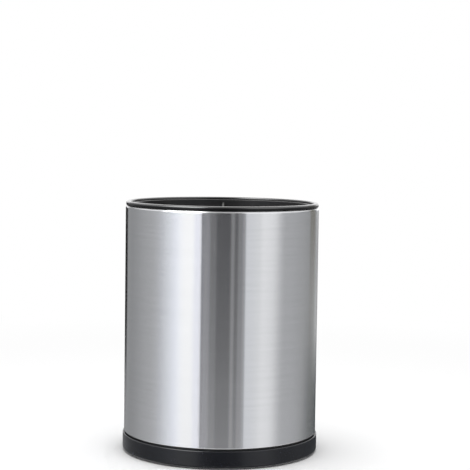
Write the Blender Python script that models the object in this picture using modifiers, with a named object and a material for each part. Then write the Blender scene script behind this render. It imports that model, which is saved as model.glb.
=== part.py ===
"""Rotating kitchen utensil holder: a brushed steel sleeve between a black rim and a weighted black base.

The canister, which is the sleeve with its rim ring, floor pan and mat, turns on a ball race above a base
that stays where it is put. A divider with three blades hangs in the rim and lifts out.
Metres, +Z up, with the origin at the middle of the underside.
"""

import math

import bmesh
import bpy
from mathutils import Matrix, Vector

# Driving sizes of the whole holder
SLEEVE_RADIUS = 0.0760
SLEEVE_HEIGHT = 0.1780
SHEET = 0.0005
BAND_STANDOUT = 0.0010
BAND_HEIGHT = 0.0129
FOOT_DROP = 0.0010
PARTING_GAP = 0.0012
RIM_RISE = 0.0034

# Clearances: between pieces that seat on each other, between pieces that turn past each other, round a ball
SEAT_GAP = 0.0003
RUNNING_GAP = 0.0005
BALL_GAP = 0.0002

# Floor pan, mat, deck and ball race
FLANGE_THICK = 0.0012
FLANGE_INSET = 0.0010
LIP_GAP = 0.0007
PAN_WALL = 0.0022
PAN_FLOOR = 0.0024
MAT_THICK = 0.0024
TURN_IN = 0.0025
TROUGH_INSET = 0.0140
TROUGH_DEPTH = 0.0020
DECK_THICK = 0.0026
RACE_EDGE_GAP = 0.0020
RACE_REACH_OUT = 0.0120
RACE_REACH_IN = 0.0060
RACE_THICK = 0.0022
GROOVE_DEPTH = 0.0010
BALL_RADIUS = 0.0025
BALL_COUNT = 12

# Pivot
BOLT_HEAD_RADIUS = 0.0065
BOLT_HEAD_THICK = 0.0024
SHOULDER_RADIUS = 0.0040
THREAD_RADIUS = 0.0029
WASHER_RADIUS = 0.0080
WASHER_THICK = 0.0008
BUSH_WALL = 0.0014
BUSH_FLANGE = 0.0010
BUSH_LENGTH = 0.0037
NUT_THICK = 0.0024
PIVOT_CUP_WALL = 0.0022

# Fineness of round pieces, in sides
ROUND_SIDES = 60
INNER_SIDES = 48
PIVOT_SIDES = 24
SCREW_SIDES = 16
PEG_SIDES = 12
HEXAGON_SIDES = 6

# How far a cutter runs past the face that it opens, and how near points count as one
OVERRUN = 0.0010
WELD = 0.000001
SMOOTH_UNDER = math.radians(32)

# Levels of the holder, from the table up
band_bottom = FOOT_DROP
band_top = band_bottom + BAND_HEIGHT
sleeve_bottom = band_top + PARTING_GAP
sleeve_top = sleeve_bottom + SLEEVE_HEIGHT
rim_top = sleeve_top + RIM_RISE

# Levels of the deck and of the ball race that stands in its trough
flange_top = sleeve_bottom - SEAT_GAP
flange_bottom = flange_top - FLANGE_THICK
shelf_top = flange_bottom - RUNNING_GAP
trough_top = shelf_top - TROUGH_DEPTH
deck_under = trough_top - DECK_THICK
lower_race_bottom = trough_top + SEAT_GAP
lower_race_top = lower_race_bottom + RACE_THICK
ball_level = lower_race_top - GROOVE_DEPTH + BALL_GAP + BALL_RADIUS
upper_race_bottom = 2 * ball_level - lower_race_top
upper_race_top = upper_race_bottom + RACE_THICK
pan_floor_bottom = upper_race_top + SEAT_GAP
pan_floor_top = pan_floor_bottom + PAN_FLOOR
mat_bottom = pan_floor_top + SEAT_GAP
mat_top = mat_bottom + MAT_THICK

# Levels of the pivot, from the bolt's head down
head_top = pan_floor_top - SEAT_GAP
head_bottom = head_top - BOLT_HEAD_THICK
washer_top = head_bottom - SEAT_GAP
washer_bottom = washer_top - WASHER_THICK
bush_top = washer_bottom - SEAT_GAP
bush_flange_bottom = bush_top - BUSH_FLANGE
pan_hub_top = bush_flange_bottom - SEAT_GAP
bush_bottom = bush_flange_bottom - BUSH_LENGTH
pan_hub_bottom = bush_bottom
deck_hub_top = pan_hub_bottom - RUNNING_GAP
shoulder_bottom = deck_hub_top + SEAT_GAP
nut_washer_top = deck_under - SEAT_GAP
nut_washer_bottom = nut_washer_top - WASHER_THICK
nut_top = nut_washer_bottom - SEAT_GAP
nut_bottom = nut_top - NUT_THICK

# Radii that more than one piece follows
band_radius = SLEEVE_RADIUS + BAND_STANDOUT
bore_radius = SLEEVE_RADIUS - SHEET
turned_edge_radius = SLEEVE_RADIUS - TURN_IN
plug_radius = turned_edge_radius - SEAT_GAP
pan_flange_radius = SLEEVE_RADIUS - FLANGE_INSET
pan_bore_radius = plug_radius - PAN_WALL
trough_radius = SLEEVE_RADIUS - TROUGH_INSET
race_outer_radius = trough_radius - RACE_EDGE_GAP
track_radius = race_outer_radius - RACE_REACH_OUT
race_inner_radius = track_radius - RACE_REACH_IN
bush_bore_radius = SHOULDER_RADIUS + SEAT_GAP
bush_radius = bush_bore_radius + BUSH_WALL
cup_radius = WASHER_RADIUS + RUNNING_GAP
pan_hub_radius = cup_radius + PIVOT_CUP_WALL


def collection(name):
    """A new collection of the scene."""
    made = bpy.data.collections.new(name)
    bpy.context.scene.collection.children.link(made)
    return made


def material(name, colour, roughness, metallic=0.0):
    """A Principled BSDF with a plain colour."""
    made = bpy.data.materials.new(name)
    made.use_nodes = True
    shader = made.node_tree.nodes["Principled BSDF"]
    shader.inputs["Base Color"].default_value = (*colour, 1)
    shader.inputs["Roughness"].default_value = roughness
    shader.inputs["Metallic"].default_value = metallic
    made.diffuse_color = (*colour, 1)
    return made


for old in list(bpy.data.objects):
    bpy.data.objects.remove(old)

holder = collection("utensil_holder")
cutters = collection("cutters")

brushed_steel = material("brushed_steel", (0.56, 0.57, 0.59), 0.28, 1.0)
black_gloss_plastic = material("black_gloss_plastic", (0.020, 0.021, 0.024), 0.30)
black_satin_plastic = material("black_satin_plastic", (0.028, 0.028, 0.030), 0.48)
black_rubber = material("black_rubber", (0.022, 0.022, 0.023), 0.75)
plated_steel = material("plated_steel", (0.60, 0.60, 0.57), 0.35, 1.0)
ball_steel = material("ball_steel", (0.66, 0.67, 0.68), 0.10, 1.0)
cage_nylon = material("cage_nylon", (0.72, 0.71, 0.66), 0.50)


def arc(radius, height, bend, start, end, spans):
    """Points of a round corner in a half section, from the start angle to the end angle, in degrees."""
    turns = [math.radians(start + (end - start) * i / spans) for i in range(spans + 1)]
    return [(radius + bend * math.cos(t), height + bend * math.sin(t)) for t in turns]


def add(name, mesh, finish, home=holder):
    """A named object with this mesh and material."""
    made = bpy.data.objects.new(name, mesh)
    if finish:
        mesh.materials.append(finish)
    home.objects.link(made)
    if home is cutters:
        made.hide_render = True
        made.display_type = "WIRE"
    return made


def turned(name, section, finish, sides=ROUND_SIDES, closed=True, home=holder):
    """A piece turned about Z from its half section of (radius, height) points, down the outer side.

    An open section starts and ends on the axis, or is the skin of a sheet."""
    mesh = bpy.data.meshes.new(name)
    edges = [(i, i + 1) for i in range(len(section) - 1)]
    if closed:
        edges.append((len(section) - 1, 0))
    mesh.from_pydata([(radius, 0, height) for radius, height in section], edges, [])
    made = add(name, mesh, finish, home)
    screw = made.modifiers.new("turn", "SCREW")
    screw.steps = sides
    screw.render_steps = sides
    screw.use_merge_vertices = True
    screw.merge_threshold = WELD
    return made


def pegs(name, places, radius, bottom, top, sides=PEG_SIDES, top_radius=None):
    """Upright round pegs of one size, or cones, in one cutter, one at each (x, y) place."""
    mesh = bpy.data.meshes.new(name)
    bm = bmesh.new()
    for x, y in places:
        bmesh.ops.create_cone(
            bm,
            cap_ends=True,
            segments=sides,
            radius1=radius,
            radius2=radius if top_radius is None else top_radius,
            depth=top - bottom,
            matrix=Matrix.Translation((x, y, (bottom + top) / 2)),
        )
    bm.to_mesh(mesh)
    bm.free()
    return add(name, mesh, None, cutters)


def boolean(piece, other, operation):
    """Cuts other from piece, or joins it to piece."""
    modifier = piece.modifiers.new(other.name, "BOOLEAN")
    modifier.operation = operation
    modifier.solver = "EXACT"
    modifier.object = other


def evaluated_mesh(piece):
    """The mesh of an object as its modifiers leave it, its double points made one."""
    bpy.context.view_layer.update()
    graph = bpy.context.evaluated_depsgraph_get()
    mesh = bpy.data.meshes.new_from_object(piece.evaluated_get(graph))
    bm = bmesh.new()
    bm.from_mesh(mesh)
    bmesh.ops.remove_doubles(bm, verts=bm.verts, dist=WELD)
    bm.to_mesh(mesh)
    bm.free()
    return mesh


def finished(piece):
    """Applies a piece's modifiers, and shades its round faces smooth and its corners sharp."""
    mesh = evaluated_mesh(piece)
    mesh.name = piece.name
    mesh.shade_smooth()
    mesh.set_sharp_from_angle(angle=SMOOTH_UNDER)
    piece.modifiers.clear()
    piece.data = mesh
    return piece


def round_the_axis(count, radius, start=0.0):
    """(x, y) places evenly round the axis, the first at the start angle in degrees."""
    turns = [math.radians(start) + math.tau * i / count for i in range(count)]
    return [(radius * math.cos(t), radius * math.sin(t)) for t in turns]


# Steel sleeve: one sheet rolled to a tube, both ends turned in at a small bend to hold the rim and the floor
SLEEVE_BEND = 0.0012
SLEEVE_BEND_SPAN_COUNT = 2


def steel_sleeve():
    """The open skin of the tube, given the sheet's thickness inwards."""
    bend_radius = SLEEVE_RADIUS - SLEEVE_BEND
    skin = [(turned_edge_radius, sleeve_top)]
    skin += arc(bend_radius, sleeve_top - SLEEVE_BEND, SLEEVE_BEND, 90, 0, SLEEVE_BEND_SPAN_COUNT)
    skin += arc(bend_radius, sleeve_bottom + SLEEVE_BEND, SLEEVE_BEND, 0, -90, SLEEVE_BEND_SPAN_COUNT)
    skin += [(turned_edge_radius, sleeve_bottom)]
    sleeve = turned("steel_sleeve", skin, brushed_steel, closed=False)
    wall = sleeve.modifiers.new("sheet", "SOLIDIFY")
    wall.thickness = SHEET
    wall.offset = -1
    wall.use_even_offset = True
    return finished(sleeve)


# Snap barbs: wedges on a plug wall that catch behind a turned-in edge of the sleeve
BARB_COUNT = 6
BARB_WIDTH = 0.0120
BARB_HEIGHT = 0.0036
BARB_ROOT = 0.0012
BARB_RUN_OUT = 0.0006
BARB_GAP = 0.0008


def barbs(name, catch_level, away):
    """A ring of wedges, flat at the catch level, that run out into the plug's wall up (1) or down (-1)."""
    tip = bore_radius - BARB_GAP
    mesh = bpy.data.meshes.new(name)
    bm = bmesh.new()
    for i in range(BARB_COUNT):
        turn = Matrix.Rotation(math.tau * (i + 0.5) / BARB_COUNT, 4, "Z")
        for corner in bmesh.ops.create_cube(bm, size=2)["verts"]:
            outward, across, up = corner.co
            caught = up * away < 0
            reach = tip if caught else plug_radius - BARB_RUN_OUT
            radius = reach if outward > 0 else plug_radius - BARB_ROOT
            level = catch_level if caught else catch_level + away * BARB_HEIGHT
            corner.co = turn @ Vector((radius, across * BARB_WIDTH / 2, level))
    bm.to_mesh(mesh)
    bm.free()
    return add(name, mesh, None, cutters)


# Rim ring: a round bead on the sleeve's top edge, with a ledge inside for the divider and a skirt in the bore
BEAD_INSET = 0.0004
BEAD_WIDTH = 0.0036
BEAD_OUTER_ROUND = 0.0016
BEAD_INNER_ROUND = 0.0012
LEDGE_DROP = 0.0037
SKIRT_WALL = 0.0028
SKIRT_DEPTH = 0.0140
SKIRT_CHAMFER = 0.0010
BEAD_SPAN_COUNT = 3
bead_radius = SLEEVE_RADIUS - BEAD_INSET
bead_bore_radius = bead_radius - BEAD_WIDTH
skirt_bore_radius = plug_radius - SKIRT_WALL
ledge_level = rim_top - LEDGE_DROP
skirt_bottom = sleeve_top - SKIRT_DEPTH


def rim_ring():
    """The ring's bead, plug, skirt and ledge as one turned section, with its barbs joined on."""
    outer_round = (bead_radius - BEAD_OUTER_ROUND, rim_top - BEAD_OUTER_ROUND, BEAD_OUTER_ROUND)
    inner_round = (bead_bore_radius + BEAD_INNER_ROUND, rim_top - BEAD_INNER_ROUND, BEAD_INNER_ROUND)
    section = arc(*outer_round, 90, 0, BEAD_SPAN_COUNT)
    section += [
        (bead_radius, sleeve_top + SEAT_GAP),
        (plug_radius, sleeve_top + SEAT_GAP),
        (plug_radius, skirt_bottom + SKIRT_CHAMFER),
        (plug_radius - SKIRT_CHAMFER, skirt_bottom),
        (skirt_bore_radius, skirt_bottom),
        (skirt_bore_radius, ledge_level),
        (bead_bore_radius, ledge_level),
    ]
    section += arc(*inner_round, 180, 90, BEAD_SPAN_COUNT)
    ring = turned("rim_ring", section, black_gloss_plastic)
    catch_level = sleeve_top - SHEET - SEAT_GAP
    boolean(ring, barbs("rim_barbs", catch_level, -1), "UNION")
    return finished(ring)


# Countersunk screws that hold the two race rings
RACE_SCREW_COUNT = 3
RACE_SCREW_PLACE_SHARE = 0.66
RACE_SCREW_HEAD_RADIUS = 0.0025
RACE_SCREW_HEAD_DEPTH = 0.0014
RACE_SCREW_RADIUS = 0.0011
RACE_SCREW_BITE = 0.0015
RACE_SCREW_FLUSH = 0.0002
RACE_RECESS_DEPTH = 0.0007
RACE_RECESS_LENGTH = 0.0026
RACE_RECESS_WIDTH = 0.0006
race_screw_length = RACE_THICK + SEAT_GAP + RACE_SCREW_BITE - RACE_SCREW_FLUSH
race_screw_circle = track_radius + RACE_REACH_OUT * RACE_SCREW_PLACE_SHARE
screw_places = round_the_axis(RACE_SCREW_COUNT, race_screw_circle, 90)


def bar(name, size):
    """A box cutter of this (x, y, z) size with its middle at the origin."""
    mesh = bpy.data.meshes.new(name)
    bm = bmesh.new()
    bmesh.ops.create_cube(bm, size=1, matrix=Matrix.Diagonal((*size, 1)))
    bm.to_mesh(mesh)
    bm.free()
    return add(name, mesh, None, cutters)


def screw_mesh(name, section, recess_length, recess_width, recess_depth):
    """A turned screw with a cross recess, its head's top at height zero and its point down."""
    screw = turned(name, section, plated_steel, SCREW_SIDES, closed=False)
    boolean(screw, bar(f"{name}_slot_x", (recess_length, recess_width, 2 * recess_depth)), "DIFFERENCE")
    boolean(screw, bar(f"{name}_slot_y", (recess_width, recess_length, 2 * recess_depth)), "DIFFERENCE")
    mesh = finished(screw).data
    bpy.data.objects.remove(screw)
    return mesh


def race_screw_mesh():
    """A countersunk screw with its flat head up."""
    section = [
        (0, 0),
        (RACE_SCREW_HEAD_RADIUS, 0),
        (RACE_SCREW_RADIUS, -RACE_SCREW_HEAD_DEPTH),
        (RACE_SCREW_RADIUS, -race_screw_length),
        (0, -race_screw_length),
    ]
    return screw_mesh("race_screw", section, RACE_RECESS_LENGTH, RACE_RECESS_WIDTH, RACE_RECESS_DEPTH)


def cut_race_screw_holes(piece, head_level, point):
    """Cuts the countersunk holes of the race screws, whose points go up (1) or down (-1) from their heads."""
    hole = RACE_SCREW_RADIUS + SEAT_GAP
    head = RACE_SCREW_HEAD_RADIUS + SEAT_GAP
    outside = head_level - point * OVERRUN
    cone_end = head_level + point * RACE_SCREW_HEAD_DEPTH
    tip = head_level + point * (race_screw_length + SEAT_GAP)
    section = [(0, outside), (head, outside), (head, head_level), (hole, cone_end), (hole, tip), (0, tip)]
    if point > 0:
        section.reverse()
    for number, (x, y) in enumerate(screw_places, 1):
        cutter = turned(f"{piece.name}_hole_{number}", section, None, PEG_SIDES, closed=False, home=cutters)
        cutter.location = (x, y, 0)
        boolean(piece, cutter, "DIFFERENCE")


def floor_pan():
    """The canister's plastic bottom, plugged into the sleeve, with a cup at its middle for the pivot."""
    section = [
        (plug_radius, mat_top),
        (plug_radius, flange_top),
        (pan_flange_radius, flange_top),
        (pan_flange_radius, flange_bottom),
        (pan_bore_radius, flange_bottom),
        (pan_bore_radius, pan_floor_bottom),
        (pan_hub_radius, pan_floor_bottom),
        (pan_hub_radius, pan_hub_bottom),
        (bush_radius + SEAT_GAP, pan_hub_bottom),
        (bush_radius + SEAT_GAP, pan_hub_top),
        (cup_radius, pan_hub_top),
        (cup_radius, pan_floor_top),
        (pan_bore_radius, pan_floor_top),
        (pan_bore_radius, mat_top),
    ]
    pan = turned("floor_pan", section, black_satin_plastic, INNER_SIDES)
    catch_level = sleeve_bottom + SHEET + SEAT_GAP
    boolean(pan, barbs("pan_barbs", catch_level, 1), "UNION")
    cut_race_screw_holes(pan, upper_race_bottom + RACE_SCREW_FLUSH, 1)
    return finished(pan)


# Ball race: two pressed rings with a groove, and a nylon cage that keeps the balls apart
CAGE_THICK = 0.0016
CAGE_REACH = 0.0046
GROOVE_SPAN_COUNT = 3


def race_ring(name, base_level, groove_level):
    """A flat ring from its base level to its grooved face, with the ball's groove in that face."""
    facing = math.copysign(1, groove_level - base_level)
    groove_radius = BALL_RADIUS + BALL_GAP
    sink = math.asin(abs(ball_level - groove_level) / groove_radius)
    sweep = math.pi - 2 * sink
    groove_turns = [-sink - sweep * i / GROOVE_SPAN_COUNT for i in range(GROOVE_SPAN_COUNT + 1)]
    section = [(race_outer_radius, groove_level), (race_outer_radius, base_level)]
    section += [(race_inner_radius, base_level), (race_inner_radius, groove_level)]
    section += [
        (track_radius + groove_radius * math.cos(t), ball_level + facing * groove_radius * math.sin(t))
        for t in reversed(groove_turns)
    ]
    if facing < 0:
        section.reverse()
    ring = turned(name, section, plated_steel, INNER_SIDES)
    cut_race_screw_holes(ring, groove_level - facing * RACE_SCREW_FLUSH, -facing)
    return finished(ring)


def ball_cage():
    """A flat ring at the balls' middle, with a round window for each ball."""
    low = ball_level - CAGE_THICK / 2
    high = ball_level + CAGE_THICK / 2
    outer = track_radius + CAGE_REACH
    inner = track_radius - CAGE_REACH
    cage = turned(
        "ball_cage", [(outer, high), (outer, low), (inner, low), (inner, high)], cage_nylon, INNER_SIDES
    )
    places = round_the_axis(BALL_COUNT, track_radius)
    window = BALL_RADIUS + SEAT_GAP
    boolean(cage, pegs("cage_windows", places, window, low - OVERRUN, high + OVERRUN), "DIFFERENCE")
    return finished(cage)


def bearing_balls():
    """The balls, which share one mesh."""
    mesh = bpy.data.meshes.new("bearing_ball")
    bm = bmesh.new()
    bmesh.ops.create_icosphere(bm, subdivisions=2, radius=BALL_RADIUS)
    bm.to_mesh(mesh)
    bm.free()
    mesh.materials.append(ball_steel)
    mesh.shade_smooth()
    for number, (x, y) in enumerate(round_the_axis(BALL_COUNT, track_radius), 1):
        ball = add(f"bearing_ball_{number:02d}", mesh, None)
        ball.location = (x, y, ball_level)


# Base: a weighted plinth. The shell carries the ball race in a trough, and a plate closes it from below
BAND_WALL = 0.0022
BAND_BOTTOM_ROUND = 0.0016
BAND_TOP_ROUND = 0.0006
SHELF_THICK = 0.0022
ROUND_SPAN_COUNT = 2
PLATE_RECESS = 0.0002
PLATE_THICK = 0.0024
PLATE_SCREW_COUNT = 4
PLATE_SCREW_INSET = 0.0310
PLATE_SCREW_RADIUS = 0.0014
PLATE_SCREW_HEAD_RADIUS = 0.0030
PLATE_SCREW_HEAD_THICK = 0.0011
PLATE_SCREW_ROUND = 0.0003
PLATE_RECESS_LENGTH = 0.0034
PLATE_RECESS_WIDTH = 0.0008
PLATE_RECESS_DEPTH = 0.0007
COUNTERBORE_DEPTH = 0.0014
BOSS_RADIUS = 0.0040
BOSS_ROOT = 0.0005
band_bore_radius = band_radius - BAND_WALL
lip_radius = pan_flange_radius + LIP_GAP
plate_bottom = band_bottom + PLATE_RECESS
plate_top = plate_bottom + PLATE_THICK
counterbore_level = plate_bottom + COUNTERBORE_DEPTH
boss_bottom = plate_top + SEAT_GAP
plate_screw_head_level = counterbore_level - SEAT_GAP - PLATE_SCREW_HEAD_THICK
plate_screw_tip = deck_under - SEAT_GAP
boss_places = round_the_axis(PLATE_SCREW_COUNT, SLEEVE_RADIUS - PLATE_SCREW_INSET, 45)


def base_shell():
    """Band, deck and trough as one turned section, with the bosses for the base plate's screws."""
    outer_top = (band_radius - BAND_TOP_ROUND, band_top - BAND_TOP_ROUND, BAND_TOP_ROUND)
    outer_bottom = (band_radius - BAND_BOTTOM_ROUND, band_bottom + BAND_BOTTOM_ROUND, BAND_BOTTOM_ROUND)
    section = arc(*outer_top, 90, 0, ROUND_SPAN_COUNT) + arc(*outer_bottom, 0, -90, ROUND_SPAN_COUNT)
    section += [
        (band_bore_radius, band_bottom),
        (band_bore_radius, shelf_top - SHELF_THICK),
        (trough_radius + SHELF_THICK, shelf_top - SHELF_THICK),
        (trough_radius + SHELF_THICK, deck_under),
        (THREAD_RADIUS + SEAT_GAP, deck_under),
        (THREAD_RADIUS + SEAT_GAP, deck_hub_top),
        (pan_hub_radius, deck_hub_top),
        (pan_hub_radius, trough_top),
        (trough_radius, trough_top),
        (trough_radius, shelf_top),
        (lip_radius, shelf_top),
        (lip_radius, band_top),
    ]
    shell = turned("base_shell", section, black_gloss_plastic)
    bosses = pegs("base_bosses", boss_places, BOSS_RADIUS, boss_bottom, deck_under + BOSS_ROOT)
    boolean(shell, bosses, "UNION")
    pilot = PLATE_SCREW_RADIUS + SEAT_GAP
    pilots = pegs("base_pilots", boss_places, pilot, boss_bottom - OVERRUN, plate_screw_tip + SEAT_GAP)
    boolean(shell, pilots, "DIFFERENCE")
    cut_race_screw_holes(shell, lower_race_top - RACE_SCREW_FLUSH, -1)
    return finished(shell)


# Ballast: a plain steel ring between the deck and the base plate, which the screw bosses pass through
BALLAST_SIDE_GAP = 0.0020
BALLAST_NUT_GAP = 0.0060
BOSS_CLEARANCE = 0.0006


def ballast_ring():
    """A flat ring with a hole round each boss."""
    outer = trough_radius + SHELF_THICK - BALLAST_SIDE_GAP
    top = deck_under - SEAT_GAP
    bottom = plate_top + SEAT_GAP
    bore = WASHER_RADIUS + BALLAST_NUT_GAP
    section = [(outer, top), (outer, bottom), (bore, bottom), (bore, top)]
    ring = turned("ballast_ring", section, plated_steel, INNER_SIDES)
    hole = BOSS_RADIUS + BOSS_CLEARANCE
    boolean(ring, pegs("ballast_holes", boss_places, hole, bottom - OVERRUN, top + OVERRUN), "DIFFERENCE")
    return finished(ring)


# Anti-slip ring: a rubber ring set in a groove of the base plate, on which the holder stands
FOOT_INSET = 0.0068
FOOT_WIDTH = 0.0080
FOOT_ROUND = 0.0005
FOOT_BURY = 0.0010
foot_outer_radius = band_bore_radius - FOOT_INSET
foot_inner_radius = foot_outer_radius - FOOT_WIDTH


def foot_ring():
    """A flat band of rubber whose lower corners are broken."""
    top = plate_bottom + FOOT_BURY - SEAT_GAP
    section = [
        (foot_outer_radius, top),
        (foot_outer_radius, FOOT_ROUND),
        (foot_outer_radius - FOOT_ROUND, 0),
        (foot_inner_radius + FOOT_ROUND, 0),
        (foot_inner_radius, FOOT_ROUND),
        (foot_inner_radius, top),
    ]
    return finished(turned("anti_slip_ring", section, black_rubber))


# Base plate: the underside, grooved for the anti-slip ring, counterbored for its screws, open over the nut
NUT_ACROSS_CORNERS = 0.0115
NUT_ACCESS_GAP = 0.0020


def base_plate():
    """A grooved disc with a counterbored hole for each screw and an opening over the nut."""
    outer = band_bore_radius - SEAT_GAP
    groove_outer = foot_outer_radius + SEAT_GAP
    groove_inner = foot_inner_radius - SEAT_GAP
    access_radius = max(NUT_ACROSS_CORNERS / 2, WASHER_RADIUS) + NUT_ACCESS_GAP
    groove_level = plate_bottom + FOOT_BURY
    section = [
        (outer, plate_top),
        (outer, plate_bottom),
        (groove_outer, plate_bottom),
        (groove_outer, groove_level),
        (groove_inner, groove_level),
        (groove_inner, plate_bottom),
        (access_radius, plate_bottom),
        (access_radius, plate_top),
    ]
    plate = turned("base_plate", section, black_satin_plastic)
    head = PLATE_SCREW_HEAD_RADIUS + SEAT_GAP
    wells = pegs("plate_wells", boss_places, head, plate_bottom - OVERRUN, counterbore_level, SCREW_SIDES)
    hole = PLATE_SCREW_RADIUS + SEAT_GAP
    holes = pegs("plate_holes", boss_places, hole, plate_bottom, plate_top + OVERRUN)
    boolean(plate, wells, "DIFFERENCE")
    boolean(plate, holes, "DIFFERENCE")
    return finished(plate)


def plate_screw_mesh():
    """A pan head screw with its head up."""
    length = plate_screw_tip - plate_screw_head_level
    section = [
        (0, 0),
        (PLATE_SCREW_HEAD_RADIUS - PLATE_SCREW_ROUND, 0),
        (PLATE_SCREW_HEAD_RADIUS, -PLATE_SCREW_ROUND),
        (PLATE_SCREW_HEAD_RADIUS, -PLATE_SCREW_HEAD_THICK),
        (PLATE_SCREW_RADIUS, -PLATE_SCREW_HEAD_THICK),
        (PLATE_SCREW_RADIUS, -length),
        (0, -length),
    ]
    return screw_mesh("plate_screw", section, PLATE_RECESS_LENGTH, PLATE_RECESS_WIDTH, PLATE_RECESS_DEPTH)


def place_screws(name, mesh, places, head_level, head_up):
    """A screw at each place, its head up or turned over."""
    for number, (x, y) in enumerate(places, 1):
        screw = add(f"{name}_{number}", mesh, None)
        screw.location = (x, y, head_level)
        screw.rotation_euler = (0 if head_up else math.pi, 0, 0)


# Pivot: a shoulder bolt through the pan's bush and the deck, with a washer and a lock nut under the deck
SOCKET_ACROSS = 0.0046
SOCKET_DEPTH = 0.0013
BOLT_ROUND = 0.0004
BOLT_TIP_OUT = 0.0004
NUT_COLLAR = 0.0008
NUT_COLLAR_ROOT = 0.0006


def pivot_bolt():
    """Head, shoulder and thread as one turned section, with a hexagon socket in the head."""
    section = [
        (0, head_top),
        (BOLT_HEAD_RADIUS - BOLT_ROUND, head_top),
        (BOLT_HEAD_RADIUS, head_top - BOLT_ROUND),
        (BOLT_HEAD_RADIUS, head_bottom),
        (SHOULDER_RADIUS, head_bottom),
        (SHOULDER_RADIUS, shoulder_bottom),
        (THREAD_RADIUS, shoulder_bottom),
        (THREAD_RADIUS, nut_bottom - BOLT_TIP_OUT),
        (0, nut_bottom - BOLT_TIP_OUT),
    ]
    bolt = turned("pivot_bolt", section, plated_steel, PIVOT_SIDES, closed=False)
    socket_radius = SOCKET_ACROSS / 2
    socket_floor = head_top - SOCKET_DEPTH
    socket = pegs("bolt_socket", [(0, 0)], socket_radius, socket_floor, head_top + OVERRUN, HEXAGON_SIDES)
    boolean(bolt, socket, "DIFFERENCE")
    return finished(bolt)


def plain_washer(name, bottom, top, bore):
    """A flat steel washer of the pivot."""
    section = [(WASHER_RADIUS, top), (WASHER_RADIUS, bottom), (bore, bottom), (bore, top)]
    return finished(turned(name, section, plated_steel, PIVOT_SIDES))


def pivot_bush():
    """The flanged bush on which the pan turns about the bolt's shoulder."""
    section = [
        (WASHER_RADIUS, bush_top),
        (WASHER_RADIUS, bush_flange_bottom),
        (bush_radius, bush_flange_bottom),
        (bush_radius, bush_bottom),
        (bush_bore_radius, bush_bottom),
        (bush_bore_radius, bush_top),
    ]
    return finished(turned("pivot_bush", section, cage_nylon, PIVOT_SIDES))


def pivot_lock_nut():
    """A hexagon nut whose round lock collar faces down."""
    hexagon_bottom = nut_bottom + NUT_COLLAR
    collar_top = hexagon_bottom + NUT_COLLAR_ROOT
    collar_radius = NUT_ACROSS_CORNERS / 2 * math.cos(math.pi / HEXAGON_SIDES) - BOLT_ROUND
    bore = THREAD_RADIUS + SEAT_GAP
    corner_radius = NUT_ACROSS_CORNERS / 2
    hexagon = pegs("nut_hexagon", [(0, 0)], corner_radius, hexagon_bottom, nut_top, HEXAGON_SIDES)
    section = [(collar_radius, collar_top), (collar_radius, nut_bottom)]
    section += [(bore, nut_bottom), (bore, collar_top)]
    nut = turned("pivot_lock_nut", section, plated_steel, PIVOT_SIDES)
    bore_peg = pegs("nut_bore", [(0, 0)], bore, nut_bottom - OVERRUN, nut_top + OVERRUN, PIVOT_SIDES)
    boolean(nut, hexagon, "UNION")
    boolean(nut, bore_peg, "DIFFERENCE")
    return finished(nut)


# Grip mat: a rubber disc on the pan's floor with rings of studs that keep the utensils from sliding
STUD_HEIGHT = 0.0008
STUD_RADIUS = 0.0030
STUD_TOP_SHARE = 0.72
STUD_SIDES = 6
STUD_RINGS = 3
STUD_MARGIN = 0.0110
mat_radius = pan_bore_radius - SEAT_GAP
stud_top = mat_top + STUD_HEIGHT
stud_pitch = (mat_radius - STUD_MARGIN) / STUD_RINGS


def grip_mat():
    section = [(0, mat_top), (mat_radius, mat_top), (mat_radius, mat_bottom), (0, mat_bottom)]
    mat = turned("grip_mat", section, black_rubber, INNER_SIDES, closed=False)
    places = [(0, 0)]
    for ring in range(1, STUD_RINGS + 1):
        places += round_the_axis(STUD_SIDES * ring, stud_pitch * ring)
    root = mat_top - MAT_THICK / 2
    studs = pegs("mat_studs", places, STUD_RADIUS, root, stud_top, STUD_SIDES, STUD_RADIUS * STUD_TOP_SHARE)
    boolean(mat, studs, "UNION")
    return finished(mat)


# Divider: a flanged hoop that hangs on the rim's ledge, three upright blades and a hollow hub to lift it by
BLADE_COUNT = 3
BLADE_THICK = 0.0018
BLADE_FOOT_GAP = 0.0010
BLADE_FOOT_ROUND = 0.0080
BLADE_FOOT_SPAN_COUNT = 4
BLADE_SCOOP = 0.0080
BLADE_SCOOP_SPAN_COUNT = 10
BLADE_DROP_AT_HUB = 0.0020
BLADE_DROP_AT_HOOP = 0.0005
HOOP_FLANGE = 0.0015
HOOP_WALL = 0.0015
HOOP_DEPTH = 0.0120
HOOP_ROUND = 0.0005
HUB_RADIUS = 0.0065
HUB_WALL = 0.0015
HUB_DROP = 0.0080
HUB_ROUND = 0.0020
hoop_radius = skirt_bore_radius - SEAT_GAP
hoop_bore_radius = hoop_radius - HOOP_WALL
hoop_flange_bottom = ledge_level + SEAT_GAP
hoop_flange_top = hoop_flange_bottom + HOOP_FLANGE
blade_bottom = stud_top + BLADE_FOOT_GAP
hub_top = rim_top - HUB_DROP


def divider_hoop():
    """The flange that lies on the ledge, and the short wall below it."""
    flange_radius = bead_bore_radius - SEAT_GAP
    hoop_bottom = ledge_level - HOOP_DEPTH
    section = [
        (flange_radius - HOOP_ROUND, hoop_flange_top),
        (flange_radius, hoop_flange_top - HOOP_ROUND),
        (flange_radius, hoop_flange_bottom),
        (hoop_radius, hoop_flange_bottom),
        (hoop_radius, hoop_bottom),
        (hoop_bore_radius, hoop_bottom),
        (hoop_bore_radius, hoop_flange_top - HOOP_ROUND),
        (hoop_bore_radius + HOOP_ROUND, hoop_flange_top),
    ]
    return turned("divider_insert", section, black_satin_plastic)


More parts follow.
